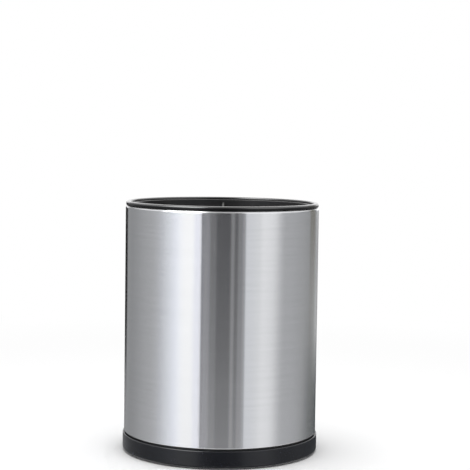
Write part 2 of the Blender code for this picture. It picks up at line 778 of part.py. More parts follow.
def divider_hub():
    """The hollow post at the middle, closed at its top and open below."""
    section = [(0, hub_top)]
    section += arc(HUB_RADIUS - HUB_ROUND, hub_top - HUB_ROUND, HUB_ROUND, 90, 0, ROUND_SPAN_COUNT)
    section += [
        (HUB_RADIUS, blade_bottom),
        (HUB_RADIUS - HUB_WALL, blade_bottom),
        (HUB_RADIUS - HUB_WALL, hub_top - HUB_ROUND),
        (0, hub_top - HUB_WALL),
    ]
    return turned("divider_hub", section, None, PIVOT_SIDES, closed=False, home=cutters)


def blade_outline():
    """(radius, height) points of one blade: a rounded foot, and a top edge that dips between hub and hoop."""
    inner = HUB_RADIUS - HUB_WALL / 2
    outer = hoop_bore_radius + HOOP_WALL / 2
    top_at_hub = hub_top - BLADE_DROP_AT_HUB
    top_at_hoop = ledge_level - BLADE_DROP_AT_HOOP
    foot = (outer - BLADE_FOOT_ROUND, blade_bottom + BLADE_FOOT_ROUND, BLADE_FOOT_ROUND)
    outline = [(inner, blade_bottom)] + arc(*foot, -90, 0, BLADE_FOOT_SPAN_COUNT)
    for i in range(BLADE_SCOOP_SPAN_COUNT + 1):
        share = i / BLADE_SCOOP_SPAN_COUNT
        level = top_at_hoop + (top_at_hub - top_at_hoop) * share
        dip = BLADE_SCOOP * math.sin(math.pi * share) ** 2
        outline.append((outer + (inner - outer) * share, level - dip))
    return outline


def divider_blade(number, turn):
    """One blade as an extruded outline, made a mesh so that it can join the hoop."""
    curve = bpy.data.curves.new(f"blade_outline_{number}", "CURVE")
    curve.dimensions = "2D"
    curve.fill_mode = "BOTH"
    curve.extrude = BLADE_THICK / 2
    outline = blade_outline()
    spline = curve.splines.new("POLY")
    spline.points.add(len(outline) - 1)
    for point, (radius, height) in zip(spline.points, outline):
        point.co = (radius, height, 0, 1)
    spline.use_cyclic_u = True
    drawn = add(f"blade_curve_{number}", curve, None, cutters)
    mesh = evaluated_mesh(drawn)
    bpy.data.objects.remove(drawn)
    blade = add(f"divider_blade_{number}", mesh, None, cutters)
    blade.matrix_world = Matrix.Rotation(turn, 4, "Z") @ Matrix.Rotation(math.radians(90), 4, "X")
    return blade


def divider_insert():
    """Hoop, hub and blades joined into one moulding."""
    divider = divider_hoop()
    boolean(divider, divider_hub(), "UNION")
    for i in range(BLADE_COUNT):
        blade = divider_blade(i + 1, math.radians(90) + math.tau * i / BLADE_COUNT)
        boolean(divider, blade, "UNION")
    return finished(divider)


# The base, from the table up
foot_ring()
base_plate()
ballast_ring()
base_shell()
place_screws("base_plate_screw", plate_screw_mesh(), boss_places, plate_screw_head_level, False)

# The ball race and its screws
race_screws = race_screw_mesh()
race_ring("lower_race", lower_race_bottom, lower_race_top)
race_ring("upper_race", upper_race_top, upper_race_bottom)
place_screws("lower_race_screw", race_screws, screw_places, lower_race_top - RACE_SCREW_FLUSH, True)
place_screws("upper_race_screw", race_screws, screw_places, upper_race_bottom + RACE_SCREW_FLUSH, False)
ball_cage()
bearing_balls()

# The pivot
pivot_bolt()
plain_washer("thrust_washer", washer_bottom, washer_top, bush_bore_radius)
plain_washer("pivot_nut_washer", nut_washer_bottom, nut_washer_top, THREAD_RADIUS + SEAT_GAP)
pivot_bush()
pivot_lock_nut()

# The canister and what stands in it
floor_pan()
steel_sleeve()
rim_ring()
grip_mat()
divider_insert()
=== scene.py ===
"""Looks of a rotating utensil holder: a brushed steel sleeve between a black rim and a weighted black base.

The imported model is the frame, in metres, +Z up. Each piece is worked out again as a fine surface on the
frame's sizes, section by section, in the order in which the holder is put together.
"""

import math

import bpy
import numpy as np
from mathutils import Matrix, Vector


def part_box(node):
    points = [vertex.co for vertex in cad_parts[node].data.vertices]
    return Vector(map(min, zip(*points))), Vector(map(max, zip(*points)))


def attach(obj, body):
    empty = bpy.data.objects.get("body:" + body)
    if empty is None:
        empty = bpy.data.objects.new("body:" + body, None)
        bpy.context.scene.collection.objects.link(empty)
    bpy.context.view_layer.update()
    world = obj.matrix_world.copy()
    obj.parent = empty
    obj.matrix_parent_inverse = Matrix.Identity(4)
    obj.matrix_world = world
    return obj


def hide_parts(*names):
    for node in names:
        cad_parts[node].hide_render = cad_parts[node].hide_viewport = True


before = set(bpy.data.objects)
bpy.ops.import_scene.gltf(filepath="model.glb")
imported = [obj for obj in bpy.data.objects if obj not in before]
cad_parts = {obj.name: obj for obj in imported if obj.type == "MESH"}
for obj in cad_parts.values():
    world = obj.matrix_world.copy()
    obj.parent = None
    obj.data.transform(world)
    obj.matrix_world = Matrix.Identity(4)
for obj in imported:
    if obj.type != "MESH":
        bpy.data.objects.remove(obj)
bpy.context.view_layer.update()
scene = bpy.context.scene

# Camera: it stands 1.1 m in front of the holder, a little above its rim, and looks slightly down on it.
# It is rolled by under a degree, because the holder leans by that much in the picture.
CAMERA_PLACE = (0.01015, -1.1347, 0.2545)
CAMERA_DOWN = math.radians(4.256)
CAMERA_ROLL = math.radians(0.80)
CAMERA_LENS = 110.44
CAMERA_SENSOR = 36.0

camera = bpy.data.objects.new("camera", bpy.data.cameras.new("camera"))
scene.collection.objects.link(camera)
camera.data.sensor_width = CAMERA_SENSOR
camera.data.lens = CAMERA_LENS
looking = Matrix.Rotation(math.pi / 2 - CAMERA_DOWN, 4, "X") @ Matrix.Rotation(CAMERA_ROLL, 4, "Z")
camera.matrix_world = Matrix.Translation(CAMERA_PLACE) @ looking
scene.camera = camera
scene.view_settings.view_transform = "Standard"

# Studio: the room that the steel mirrors, seen by mirrored light alone. In front a dark gap lies between two
# soft white walls, behind is a pale wall, and a ceiling, a window and the white table close the room.
ROOM_LEVEL = 0.55
WALL_GREY = (0.51, 0.515, 0.525)
BACK_GREY = (0.34, 0.345, 0.35)
BACK_FROM, BACK_TO = 80.0, 140.0
# Each panel has its colour, its left and right edge in degrees from the camera's side, and the widths over
# which those edges fade, then its lowest and highest edge in degrees above the table, and their fade.
STUDIO_PANELS = (
    ((1.27, 1.31, 1.41), -33.0, -23.3, 60.0, 0.4, -90.0, 90.0, 1.0),  # left wall, bluish
    ((1.30, 1.30, 1.29), -42.0, -23.3, 14.0, 0.4, -90.0, 90.0, 1.0),
    ((1.10, 1.11, 1.20), -30.5, -23.3, 3.5, 0.4, -90.0, 90.0, 1.0),  # its duller end
    ((0.92, 0.93, 0.94), 28.1, 41.0, 0.4, 27.0, -90.0, 90.0, 1.0),  # right wall
    ((1.13, 1.13, 1.14), 51.0, 62.0, 7.0, 20.0, -4.5, 90.0, 2.0),
    ((1.02, 1.02, 1.03), 48.0, 57.0, 6.0, 22.0, -90.0, -10.5, 2.0),
    ((0.84, 0.85, 0.88), 28.1, 33.0, 0.4, 14.0, -90.0, 90.0, 1.0),  # its duller end
    ((0.25, 0.25, 0.27), -23.3, 28.1, 0.4, 0.4, -90.0, 90.0, 1.0),  # gap between the walls
    ((0.06, 0.06, 0.08), -22.9, -21.4, 0.4, 0.8, -90.0, 90.0, 1.0),
    ((0.11, 0.11, 0.115), -12.9, 25.0, 0.8, 0.8, -90.0, 90.0, 1.0),
    ((0.00, 0.00, 0.005), -5.2, 19.4, 1.0, 1.0, -90.0, 90.0, 1.0),  # black stand in the gap
    ((0.22, 0.22, 0.225), 12.0, 14.6, 1.8, 1.4, -90.0, 90.0, 1.0),  # pale strip down the stand
    ((0.04, 0.04, 0.045), 16.6, 18.0, 1.0, 1.0, -90.0, 90.0, 1.0),
    ((0.19, 0.19, 0.20), 19.6, 24.4, 0.8, 0.4, -90.0, 90.0, 1.0),
    ((0.32, 0.325, 0.34), 25.2, 28.1, 0.6, 0.4, -90.0, 90.0, 1.0),
    ((1.00, 1.00, 1.01), -45.0, -23.3, 15.0, 0.4, -90.0, -19.0, 6.0),  # table before the left wall
    ((0.80, 0.80, 0.81), -23.3, 28.1, 0.4, 0.4, -90.0, -21.0, 10.0),  # table before the gap
    ((1.30, 1.30, 1.30), 155.0, 205.0, 6.0, 6.0, -1.0, 90.0, 1.5),  # pale wall behind
    ((1.30, 1.30, 1.30), 174.0, 186.0, 4.0, 2.0, -90.0, 90.0, 1.0),
    ((0.00, 0.00, 0.00), 190.0, 208.0, 2.0, 3.0, -9.0, 2.0, 1.0),  # dark things low beside it
    ((0.22, 0.21, 0.18), 130.5, 144.5, 3.0, 3.0, -5.2, 90.0, 0.6),
    ((0.72, 0.72, 0.71), 117.0, 158.0, 20.0, 4.0, -9.3, -6.8, 0.6),
    ((0.00, 0.01, 0.015), 132.0, 168.0, 34.0, 4.0, -13.0, -9.3, 0.6),
    ((0.85, 0.85, 0.85), -180.0, 180.0, 1.0, 1.0, 36.0, 90.0, 10.0),  # ceiling
    ((1.35, 1.35, 1.35), 31.0, 336.0, 3.0, 3.0, 25.0, 90.0, 10.0),
    ((7.00, 7.00, 7.00), -76.0, -29.0, 8.0, 4.0, 30.0, 62.0, 6.0),  # window
    ((1.34, 1.34, 1.34), -180.0, 180.0, 1.0, 1.0, -90.0, -34.0, 8.0),  # table all round
    ((0.92, 0.92, 0.93), -180.0, 180.0, 1.0, 1.0, -90.0, -48.0, 14.0),  # and where it lies in shade
    ((0.04, 0.04, 0.04), 140.0, 220.0, 15.0, 15.0, -90.0, -62.0, 8.0),
)


def add_node(tree, kind, inputs=(), **settings):
    """A shader node with these settings, each input given as a plain value or as the socket that feeds it."""
    made = tree.nodes.new("ShaderNode" + kind)
    for name, value in settings.items():
        setattr(made, name, value)
    for name, value in dict(inputs).items():
        if isinstance(value, bpy.types.NodeSocket):
            tree.links.new(value, made.inputs[name])
        else:
            made.inputs[name].default_value = value
    return made


def calculate(tree, operation, *values):
    """The result of one Math node."""
    return add_node(tree, "Math", enumerate(values), operation=operation).outputs[0]


def ease(tree, value, start, end, low=0.0, high=1.0):
    """Low up to the start, high from the end on, and a smooth step between them."""
    inputs = {"Value": value, "From Min": start, "From Max": end, "To Min": low, "To Max": high}
    return add_node(tree, "MapRange", inputs, interpolation_type="SMOOTHSTEP").outputs[0]


def blend_colours(tree, share, first, second):
    """The first colour with the second laid over it by the share."""
    first, second = (c if isinstance(c, bpy.types.NodeSocket) else (*c, 1) for c in (first, second))
    return add_node(tree, "Mix", {0: share, 6: first, 7: second}, data_type="RGBA").outputs[2]


def panel_share(tree, azimuth, height, left, right, left_fade, right_fade, low, high, fade):
    """How far a direction lies in a panel. Its azimuth from the panel's middle, brought within half a turn
    either way, is eased in at the left edge and out at the right, and its height likewise."""
    middle, half = (left + right) / 2, (right - left) / 2
    across = calculate(tree, "WRAP", calculate(tree, "SUBTRACT", azimuth, middle), 180.0, -180.0)
    entered = ease(tree, across, -half - left_fade, -half)
    share = calculate(tree, "MULTIPLY", entered, ease(tree, across, half, half + right_fade, 1.0, 0.0))
    if low > -90:
        share = calculate(tree, "MULTIPLY", share, ease(tree, height, low - fade, low))
    if high < 90:
        share = calculate(tree, "MULTIPLY", share, ease(tree, height, high, high + fade, 1.0, 0.0))
    return share


def studio_world():
    """White for the camera, the panels for what metal and gloss mirror, and an even level for the rest."""
    world = bpy.data.worlds.new("studio")
    world.use_nodes = True
    world.cycles.sampling_method = "NONE"
    tree = world.node_tree
    tree.nodes.clear()
    direction = add_node(tree, "TexCoord").outputs["Generated"]
    axes = add_node(tree, "SeparateXYZ", {0: direction}).outputs
    depth = calculate(tree, "MULTIPLY", axes["Y"], -1.0)
    azimuth = calculate(tree, "MULTIPLY", calculate(tree, "ARCTAN2", axes["X"], depth), math.degrees(1))
    height = calculate(tree, "MULTIPLY", calculate(tree, "ARCSINE", axes["Z"]), math.degrees(1))
    away = calculate(tree, "ABSOLUTE", azimuth)
    colour = blend_colours(tree, ease(tree, away, BACK_FROM, BACK_TO), WALL_GREY, BACK_GREY)
    for panel, *edges in STUDIO_PANELS:
        colour = blend_colours(tree, panel_share(tree, azimuth, height, *edges), colour, panel)
    path = add_node(tree, "LightPath").outputs
    mirrored = calculate(tree, "MAXIMUM", path["Is Glossy Ray"], path["Is Transmission Ray"])
    colour = blend_colours(tree, mirrored, (ROOM_LEVEL,) * 3, colour)
    colour = blend_colours(tree, path["Is Camera Ray"], colour, (1.0, 1.0, 1.0))
    shown = add_node(tree, "Background", {"Color": colour, "Strength": 1.0})
    add_node(tree, "OutputWorld", {"Surface": shown.outputs[0]})
    return world


scene.world = studio_world()

# Soft lamp: a square of white cloth, a metre wide, that hangs level above the table. It lights the colours
# and gives the holder its soft shadow. What gloss and metal mirror is the room's own white ceiling.
LAMP_HEIGHT = 1.6
LAMP_WIDTH = 1.0
LAMP_RADIANCE = 5.0

lamp = bpy.data.lights.new("soft_lamp", "AREA")
lamp.shape = "SQUARE"
lamp.size = LAMP_WIDTH
lamp.energy = LAMP_RADIANCE * math.pi * LAMP_WIDTH**2
lamp_object = bpy.data.objects.new("soft_lamp", lamp)
lamp_object.location = (0, 0, LAMP_HEIGHT)
lamp_object.visible_glossy = False
scene.collection.objects.link(lamp_object)

# Table: a plain white top. Near the holder it takes the shadow, and further out it turns into plain white
# for the camera. Metal mirrors the room through it, and from below it is clear, so the foot can be seen.
TABLE_RADIUS = 6.0
TABLE_RINGS = 25
TABLE_DROP = 0.00005
TABLE_WHITE = (0.96, 0.96, 0.96)
TABLE_FADE_FROM, TABLE_FADE_TO = 0.30, 0.80
ROUND_COLUMNS = 256
SMOOTH_UNDER = math.radians(35)


def even_angles(count):
    """So many even angles round the axis, the first at +X."""
    return np.arange(count) * math.tau / count


def new_mesh(points, faces):
    """The mesh of an array of points and a list of faces."""
    mesh = bpy.data.meshes.new("surface")
    mesh.from_pydata(points.reshape(-1, 3).tolist(), [], faces)
    return mesh


def band_faces(rows, columns):
    """The numbers of a grid's points, and the quads that join each row, closed on itself, to the next."""
    index = np.arange(rows * columns).reshape(rows, columns)
    beside = np.roll(index, -1, 1)
    quads = np.stack([index[:-1], index[1:], beside[1:], beside[:-1]], -1)
    return index, quads.reshape(-1, 4).tolist()


def disc_mesh(radius, level, rings):
    """A flat disc that faces up: rings at even steps of the radius, (r × cos a, r × sin a, level)."""
    reach = np.linspace(radius / rings, radius, rings)
    angles = even_angles(ROUND_COLUMNS)
    points = np.stack([np.outer(reach, np.cos(angles)), np.outer(reach, np.sin(angles))], -1)
    points = np.concatenate([points, np.full((rings, ROUND_COLUMNS, 1), level)], -1)
    index, quads = band_faces(rings, ROUND_COLUMNS)
    return new_mesh(points, [index[0].tolist(), *quads])


def new_piece(name, mesh, finish):
    """An object at the origin with this mesh and finish, shaded smooth up to its sharp edges."""
    mesh.name = name
    mesh.shade_smooth()
    mesh.set_sharp_from_angle(angle=SMOOTH_UNDER)
    mesh.materials.clear()
    mesh.materials.append(finish)
    made = bpy.data.objects.new(name, mesh)
    scene.collection.objects.link(made)
    return made


def new_finish(name, sockets):
    """A material, its node tree, its Principled shader with these plain values, and Object coordinates."""
    made = bpy.data.materials.new(name)
    made.use_nodes = True
    shader = made.node_tree.nodes["Principled BSDF"]
    for socket, value in sockets.items():
        shader.inputs[socket].default_value = value
    place = add_node(made.node_tree, "TexCoord").outputs["Object"]
    return made, made.node_tree, shader, place


def table_finish():
    """Matt white that turns into even white light with the distance from the holder."""
    matt_white = {"Base Color": (*TABLE_WHITE, 1), "Roughness": 0.9, "Specular IOR Level": 0.0}
    finish, tree, shader, place = new_finish("white_table", matt_white)
    distance = add_node(tree, "VectorMath", {0: place}, operation="LENGTH").outputs["Value"]
    far = ease(tree, distance, TABLE_FADE_FROM, TABLE_FADE_TO)
    light = add_node(tree, "Emission", {"Color": (1, 1, 1, 1)})
    lit = add_node(tree, "MixShader", {0: far, 1: shader.outputs[0], 2: light.outputs[0]})
    path = add_node(tree, "LightPath").outputs
    below = add_node(tree, "NewGeometry").outputs["Backfacing"]
    through = calculate(tree, "MAXIMUM", path["Is Glossy Ray"], below)
    clear = add_node(tree, "BsdfTransparent")
    mixed = add_node(tree, "MixShader", {0: through, 1: lit.outputs[0], 2: clear.outputs[0]})
    tree.links.new(mixed.outputs[0], tree.nodes["Material Output"].inputs["Surface"])
    return finish


table = new_piece("table", disc_mesh(TABLE_RADIUS, -TABLE_DROP, TABLE_RINGS), table_finish())

# Anti-slip ring: the rubber ring on which the holder stands, moulded with two drainage grooves below.
# It sits in a groove of the base plate, held by its own stretch and a few dots of glue.
FOOT_WIDTH = 0.0080
FOOT_ROUND = 0.0005
FOOT_GROOVES = 2
FOOT_GROOVE_WIDTH = 0.0009
FOOT_GROOVE_DEPTH = 0.0005
FOOT_EASE = 0.00015
FLAT_HOLD = 0.00015
SAME_POINT = 1e-7
SAME_RADIUS = 1e-6
RUBBER_BLACK = (0.022, 0.022, 0.023)
DUST = (0.30, 0.29, 0.27)


def rounded(corners, spans=6):
    """A closed half section from (radius, height, round) corners, as radius + height × 1j.

    Each corner becomes an arc. Its centre lies on the line that halves the corner, the round divided by the
    sine of half the inside angle away. A point a little before and after each arc keeps the flats flat."""
    radius, height, bend = np.array(corners, float).T
    here = radius + 1j * height
    back, ahead = np.roll(here, 1) - here, np.roll(here, -1) - here
    run = abs(ahead)
    back, ahead = back / abs(back), ahead / run
    bend = np.maximum(bend, SAME_POINT / 10)
    half = abs(np.angle(ahead / back)) / 2
    setback = bend / np.tan(half)
    centre = here + (back + ahead) / abs(back + ahead) * bend / np.sin(half)
    start = here + back * setback - centre
    turn = np.angle((here + ahead * setback - centre) / start)
    arcs = centre[:, None] + start[:, None] * np.exp(1j * np.outer(turn, np.linspace(0, 1, spans + 1)))
    spare = np.maximum(run - setback - np.roll(setback, -1), 0)
    after = np.minimum(FLAT_HOLD, spare / 3)
    before = np.roll(after, 1)
    points = np.column_stack([arcs[:, 0] + back * before, arcs, arcs[:, -1] + ahead * after]).ravel()
    return points[abs(points - np.roll(points, 1)) > SAME_POINT]


def turned_grid(section, angles=ROUND_COLUMNS):
    """The section carried round the axis: (radius × cos a, radius × sin a, height) at each angle a.

    A section whose signed area is positive is reversed, so that it runs down its outer side and the faces
    point out. The angles are a list, or a count of even ones."""
    if np.isscalar(angles):
        angles = even_angles(angles)
    if (section.conj() * np.roll(section, -1)).imag.sum() > 0:
        section = section[::-1]
    heights = np.repeat(section.imag[:, None], len(angles), 1)
    across = np.outer(section.real, np.cos(angles))
    along = np.outer(section.real, np.sin(angles))
    return np.stack([across, along, heights], -1)


def grid_mesh(grid, places=((0, 0, 0),)):
    """The mesh of a grid of points (row, column, xyz) that closes on itself both ways, once at each place.

    A face joins each point to the next row and column. A row that lies on the axis is one point, so the
    faces beside it are triangles, and there is none between two such rows."""
    rows, columns = grid.shape[:2]
    index = np.arange(rows * columns).reshape(rows, columns)
    pole = np.hypot(grid[..., 0], grid[..., 1]).max(1) < SAME_RADIUS
    index[pole] = index[pole, :1]
    below = np.roll(index, -1, 0)
    faces = np.stack([index, below, np.roll(below, -1, 1), np.roll(index, -1, 1)], -1)
    next_pole = np.roll(pole, -1)
    groups = [
        faces[~pole & ~next_pole].reshape(-1, 4),
        faces[pole & ~next_pole][..., :3].reshape(-1, 3),
        faces[~pole & next_pole][..., [0, 1, 3]].reshape(-1, 3),
    ]
    used = np.unique(np.concatenate([group.ravel() for group in groups]))
    points = grid.reshape(-1, 3)[used] + np.array(places, float)[:, None]
    starts = np.arange(len(places))[:, None, None] * len(used)
    joined = []
    for group in groups:
        joined += (np.searchsorted(used, group) + starts).reshape(-1, group.shape[1]).tolist()
    return new_mesh(points, joined)


def turned(corners, angles=ROUND_COLUMNS, spans=6):
    """A ring turned from its (radius, height, round) corners."""
    return grid_mesh(turned_grid(rounded(corners, spans), angles))


def fit(name, mesh, finish, body, node):
    """A piece that rides on a body and stands for a CAD node, which it hides, with the finish given."""
    piece = new_piece(name, mesh, finish)
    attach(piece, body)
    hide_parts(node)


def new_group(name, inputs, outputs):
    """A node group with these float inputs, a Vector input before them, and these float outputs."""
    tree = bpy.data.node_groups.new(name, "ShaderNodeTree")
    tree.interface.new_socket("Vector", in_out="INPUT", socket_type="NodeSocketVector")
    for way, sockets in (("INPUT", inputs), ("OUTPUT", outputs)):
        for socket in sockets:
            tree.interface.new_socket(socket, in_out=way, socket_type="NodeSocketFloat")
    given = tree.nodes.new("NodeGroupInput").outputs
    result = tree.nodes.new("NodeGroupOutput").inputs
    return tree, given, result


def use_group(tree, group, vector, **inputs):
    """The outputs of a node group placed in a material with these inputs."""
    return add_node(tree, "Group", {"Vector": vector, **inputs}, node_tree=group).outputs


def stretched(tree, vector, scale, turn=(0, 0, 0)):
    """The coordinates turned, and then scaled along each axis."""
    inputs = {"Vector": vector, "Rotation": turn, "Scale": scale}
    return add_node(tree, "Mapping", inputs, vector_type="TEXTURE").outputs[0]


def noise(tree, vector, scale, detail=2.0, roughness=0.5):
    """Soft noise of so many grains a metre, about 0.5 on average."""
    inputs = {"Vector": vector, "Scale": scale, "Detail": detail, "Roughness": roughness}
    return add_node(tree, "TexNoise", inputs).outputs[0]


def moulded_grain_group():
    """Spark-eroded grain: Height is fine noise, and Tone is patchy noise pushed towards its ends."""
    tree, given, result = new_group("moulded_grain", ["Grains"], ["Height", "Tone"])
    tree.links.new(noise(tree, given["Vector"], given["Grains"], 2.0, 0.6), result["Height"])
    tree.links.new(ease(tree, noise(tree, given["Vector"], 38.0, 4.0), 0.34, 0.66), result["Tone"])
    return tree


def dust_group():
    """Dust that settles: the share that a face looks up, times noise above a threshold, times the amount."""
    tree, given, result = new_group("settled_dust", ["Amount"], ["Share"])
    normal = add_node(tree, "NewGeometry").outputs["Normal"]
    up = ease(tree, add_node(tree, "SeparateXYZ", {0: normal}).outputs["Z"], 0.2, 1.0)
    specks = ease(tree, noise(tree, given["Vector"], 900.0, 3.0, 0.7), 0.52, 0.72)
    film = ease(tree, noise(tree, given["Vector"], 60.0, 3.0), 0.30, 0.75, 0.25, 0.9)
    share = calculate(tree, "MULTIPLY", calculate(tree, "MAXIMUM", specks, film), up)
    tree.links.new(calculate(tree, "MULTIPLY", share, given["Amount"]), result["Share"])
    return tree


def rub_group():
    """Fine rubs: noise stretched twenty times one way, cut off above a threshold, in two directions."""
    tree, given, result = new_group("fine_rubs", ["Amount"], ["Share"])
    marks = []
    for turn, fineness in (((0.2, 0.5, 0.4), 1.0), ((-0.6, 0.3, -0.9), 1.4)):
        along = stretched(tree, given["Vector"], (0.02, 0.0007 / fineness, 0.0007 / fineness), turn)
        marks.append(ease(tree, noise(tree, along, 1.0, 1.0), 0.66, 0.74))
    both = calculate(tree, "MAXIMUM", *marks)
    area = ease(tree, noise(tree, given["Vector"], 22.0, 2.0), 0.42, 0.62)
    share = calculate(tree, "MULTIPLY", calculate(tree, "MULTIPLY", both, area), given["Amount"])
    tree.links.new(share, result["Share"])
    return tree


moulded_grain = moulded_grain_group()
settled_dust = dust_group()
fine_rubs = rub_group()


def shaded(colour, share):
    """The colour times a share."""
    return tuple(share * channel for channel in colour)


def set_surface(tree, shader, colour, roughness, height, strength, distance):
    """Leads the colour, the roughness and the relief of a height to the shader."""
    bump = add_node(tree, "Bump", {"Height": height, "Strength": strength, "Distance": distance})
    for socket, value in (("Base Color", colour), ("Roughness", roughness), ("Normal", bump.outputs[0])):
        tree.links.new(value, shader.inputs[socket])


def moulded_finish(name, sockets, tones, rough, relief, grains, dust, film=DUST, dulling=0.0, rubs=()):
    """A moulding: two tones in patches, which differ in roughness too, a grain in relief, rubs, and dust on
    what faces up. The rubs are an amount and a colour. Dust has the film's colour, and the dulling times its
    share is added to the roughness."""
    finish, tree, shader, place = new_finish(name, sockets)
    grain = use_group(tree, moulded_grain, place, Grains=grains)
    colour = blend_colours(tree, grain["Tone"], *tones)
    if rubs:
        amount, bared = rubs
        rubbed = use_group(tree, fine_rubs, place, Amount=amount)["Share"]
        colour = blend_colours(tree, rubbed, colour, bared)
    dusty = use_group(tree, settled_dust, place, Amount=dust)["Share"]
    colour = blend_colours(tree, dusty, colour, film)
    roughness = ease(tree, grain["Tone"], 0.0, 1.0, *rough)
    roughness = calculate(tree, "ADD", roughness, calculate(tree, "MULTIPLY", dusty, dulling))
    set_surface(tree, shader, colour, roughness, grain["Height"], *relief)
    return finish


def rubber_finish(name, grains, dust):
    """Matt black rubber: patchy tone, a fine grain, and a bloom of dust on what faces up."""
    tones = RUBBER_BLACK, shaded(RUBBER_BLACK, 1.6)
    sockets = {"Specular IOR Level": 0.35}
    return moulded_finish(name, sockets, tones, (0.68, 0.84), (0.5, 0.00008), grains, dust)


foot_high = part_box("anti_slip_ring")[1]
foot_outer = foot_high.x
foot_inner = foot_outer - FOOT_WIDTH
foot_corners = [(foot_outer, foot_high.z, FOOT_ROUND / 2), (foot_outer, 0, FOOT_ROUND)]
for number in range(1, FOOT_GROOVES + 1):
    middle = foot_outer - FOOT_WIDTH * number / (FOOT_GROOVES + 1)
    foot_corners += [
        (middle + FOOT_GROOVE_WIDTH / 2, 0, FOOT_EASE),
        (middle, FOOT_GROOVE_DEPTH, FOOT_EASE),
        (middle - FOOT_GROOVE_WIDTH / 2, 0, FOOT_EASE),
    ]
foot_corners += [(foot_inner, 0, FOOT_ROUND), (foot_inner, foot_high.z, FOOT_ROUND / 2)]

foot_rubber = rubber_finish("foot_rubber", 2600.0, 0.0)
fit("rubber_foot", turned(foot_corners), foot_rubber, "base", "anti_slip_ring")

# Base plate: the underside of the base, a satin black moulding that closes the plinth from below. It has a
# groove for the rubber ring, counterbores for four screws, an opening under the pivot nut and pin marks.
SEAT_GAP = 0.0003
PLATE_EASE = 0.0003
PLATE_RING_BURY = 0.0010
PLATE_OPENING = 0.0100
PLATE_WELL = 0.0033
PLATE_WELL_DEPTH = 0.0014
PLATE_HOLE = 0.0017
PLATE_STEP_RADIUS = 0.0360
PLATE_STEP_WIDTH = 0.0008
PLATE_STEP_DEPTH = 0.0002
PIN_MARK = 0.0022
PIN_MARK_DEPTH = 0.00012
PIN_MARK_PLACES = ((0.0470, 4), (0.0200, 4))
OVERRUN = 0.0010
HOLE_COLUMNS = 48
SMALL_COLUMNS = 32
SATIN_BLACK = (0.024, 0.024, 0.026)


def turned_plug(steps, angles, places=((0, 0, 0),), spans=6):
    """A solid turned from (radius, height, round) steps and closed on the axis at both ends, once at each
    place."""
    corners = [(0, steps[0][1], 0), *steps, (0, steps[-1][1], 0)]
    return grid_mesh(turned_grid(rounded(list(dict.fromkeys(corners)), spans), angles), places)


def combined(operation, mesh, *others):
    """The mesh with each of the other meshes joined to it (UNION) or cut from it (DIFFERENCE)."""
    work = [bpy.data.objects.new("work", part) for part in (mesh, *others)]
    for part in work:
        scene.collection.objects.link(part)
    for part in work[1:]:
        boolean = work[0].modifiers.new("boolean", "BOOLEAN")
        boolean.operation = operation
        boolean.solver = "EXACT"
        boolean.object = part
    bpy.context.view_layer.update()
    graph = bpy.context.evaluated_depsgraph_get()
    made = bpy.data.meshes.new_from_object(work[0].evaluated_get(graph))
    for part in work:
        bpy.data.objects.remove(part)
    return made


def round_the_axis(count, radius):
    """(x, y, 0) places evenly round the axis, the first at +X."""
    angles = even_angles(count)
    return np.stack([radius * np.cos(angles), radius * np.sin(angles), 0 * angles], -1)


def like_boxes(node, count):
    """The boxes of the like nodes node_1, node_2 and so on, and the (x, y, 0) of each box's middle."""
    boxes = [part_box(f"{node}_{number}") for number in range(1, count + 1)]
    return boxes, [((low.x + high.x) / 2, (low.y + high.y) / 2, 0) for low, high in boxes]


def satin_finish(name, colour, roughness, grains, dust, rubs):
    """Moulded satin black: patchy tone, spark-eroded grain, pale rubs, and dust on what faces up."""
    return moulded_finish(
        name,
        {"Specular IOR Level": 0.5},
        (shaded(colour, 0.85), shaded(colour, 1.2)),
        (roughness - 0.03, roughness + 0.05),
        (0.35, 0.00004),
        grains,
        dust,
        dulling=0.4,
        rubs=(rubs, shaded(colour, 4.0)),
    )


plate_low, plate_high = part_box("base_plate")
ring_level = plate_low.z + PLATE_RING_BURY
plate_corners = [
    (plate_high.x, plate_high.z, PLATE_EASE),
    (plate_high.x, plate_low.z, PLATE_EASE),
    (foot_outer + SEAT_GAP, plate_low.z, PLATE_EASE / 2),
    (foot_outer + SEAT_GAP, ring_level, PLATE_EASE / 2),
    (foot_inner - SEAT_GAP, ring_level, PLATE_EASE / 2),
    (foot_inner - SEAT_GAP, plate_low.z, PLATE_EASE / 2),
    (PLATE_STEP_RADIUS + PLATE_STEP_WIDTH, plate_low.z, PLATE_STEP_DEPTH / 3),
    (PLATE_STEP_RADIUS + PLATE_STEP_WIDTH / 2, plate_low.z + PLATE_STEP_DEPTH, PLATE_STEP_DEPTH / 3),
    (PLATE_STEP_RADIUS, plate_low.z, PLATE_STEP_DEPTH / 3),
    (PLATE_OPENING, plate_low.z, PLATE_EASE),
    (PLATE_OPENING, plate_high.z, PLATE_EASE),
]
screw_boxes, screw_places = like_boxes("base_plate_screw", 4)
well_steps = [
    (PLATE_WELL + PLATE_EASE, plate_low.z - OVERRUN, 0),
    (PLATE_WELL + PLATE_EASE, plate_low.z, 0),
    (PLATE_WELL, plate_low.z + PLATE_EASE, 0),
    (PLATE_WELL, plate_low.z + PLATE_WELL_DEPTH, 0),
    (PLATE_HOLE, plate_low.z + PLATE_WELL_DEPTH, 0),
    (PLATE_HOLE, plate_high.z + OVERRUN, 0),
]
mark_steps = [(PIN_MARK, plate_low.z - OVERRUN, 0), (PIN_MARK, plate_low.z + PIN_MARK_DEPTH, 0)]
mark_places = np.concatenate([round_the_axis(count, radius) for radius, count in PIN_MARK_PLACES])
wells = turned_plug(well_steps, HOLE_COLUMNS, screw_places)
marks = turned_plug(mark_steps, SMALL_COLUMNS, mark_places)
plate_mesh = combined("DIFFERENCE", turned(plate_corners), wells, marks)
satin_plate = satin_finish("satin_plate", SATIN_BLACK, 0.48, 3200.0, 0.0, 0.25)
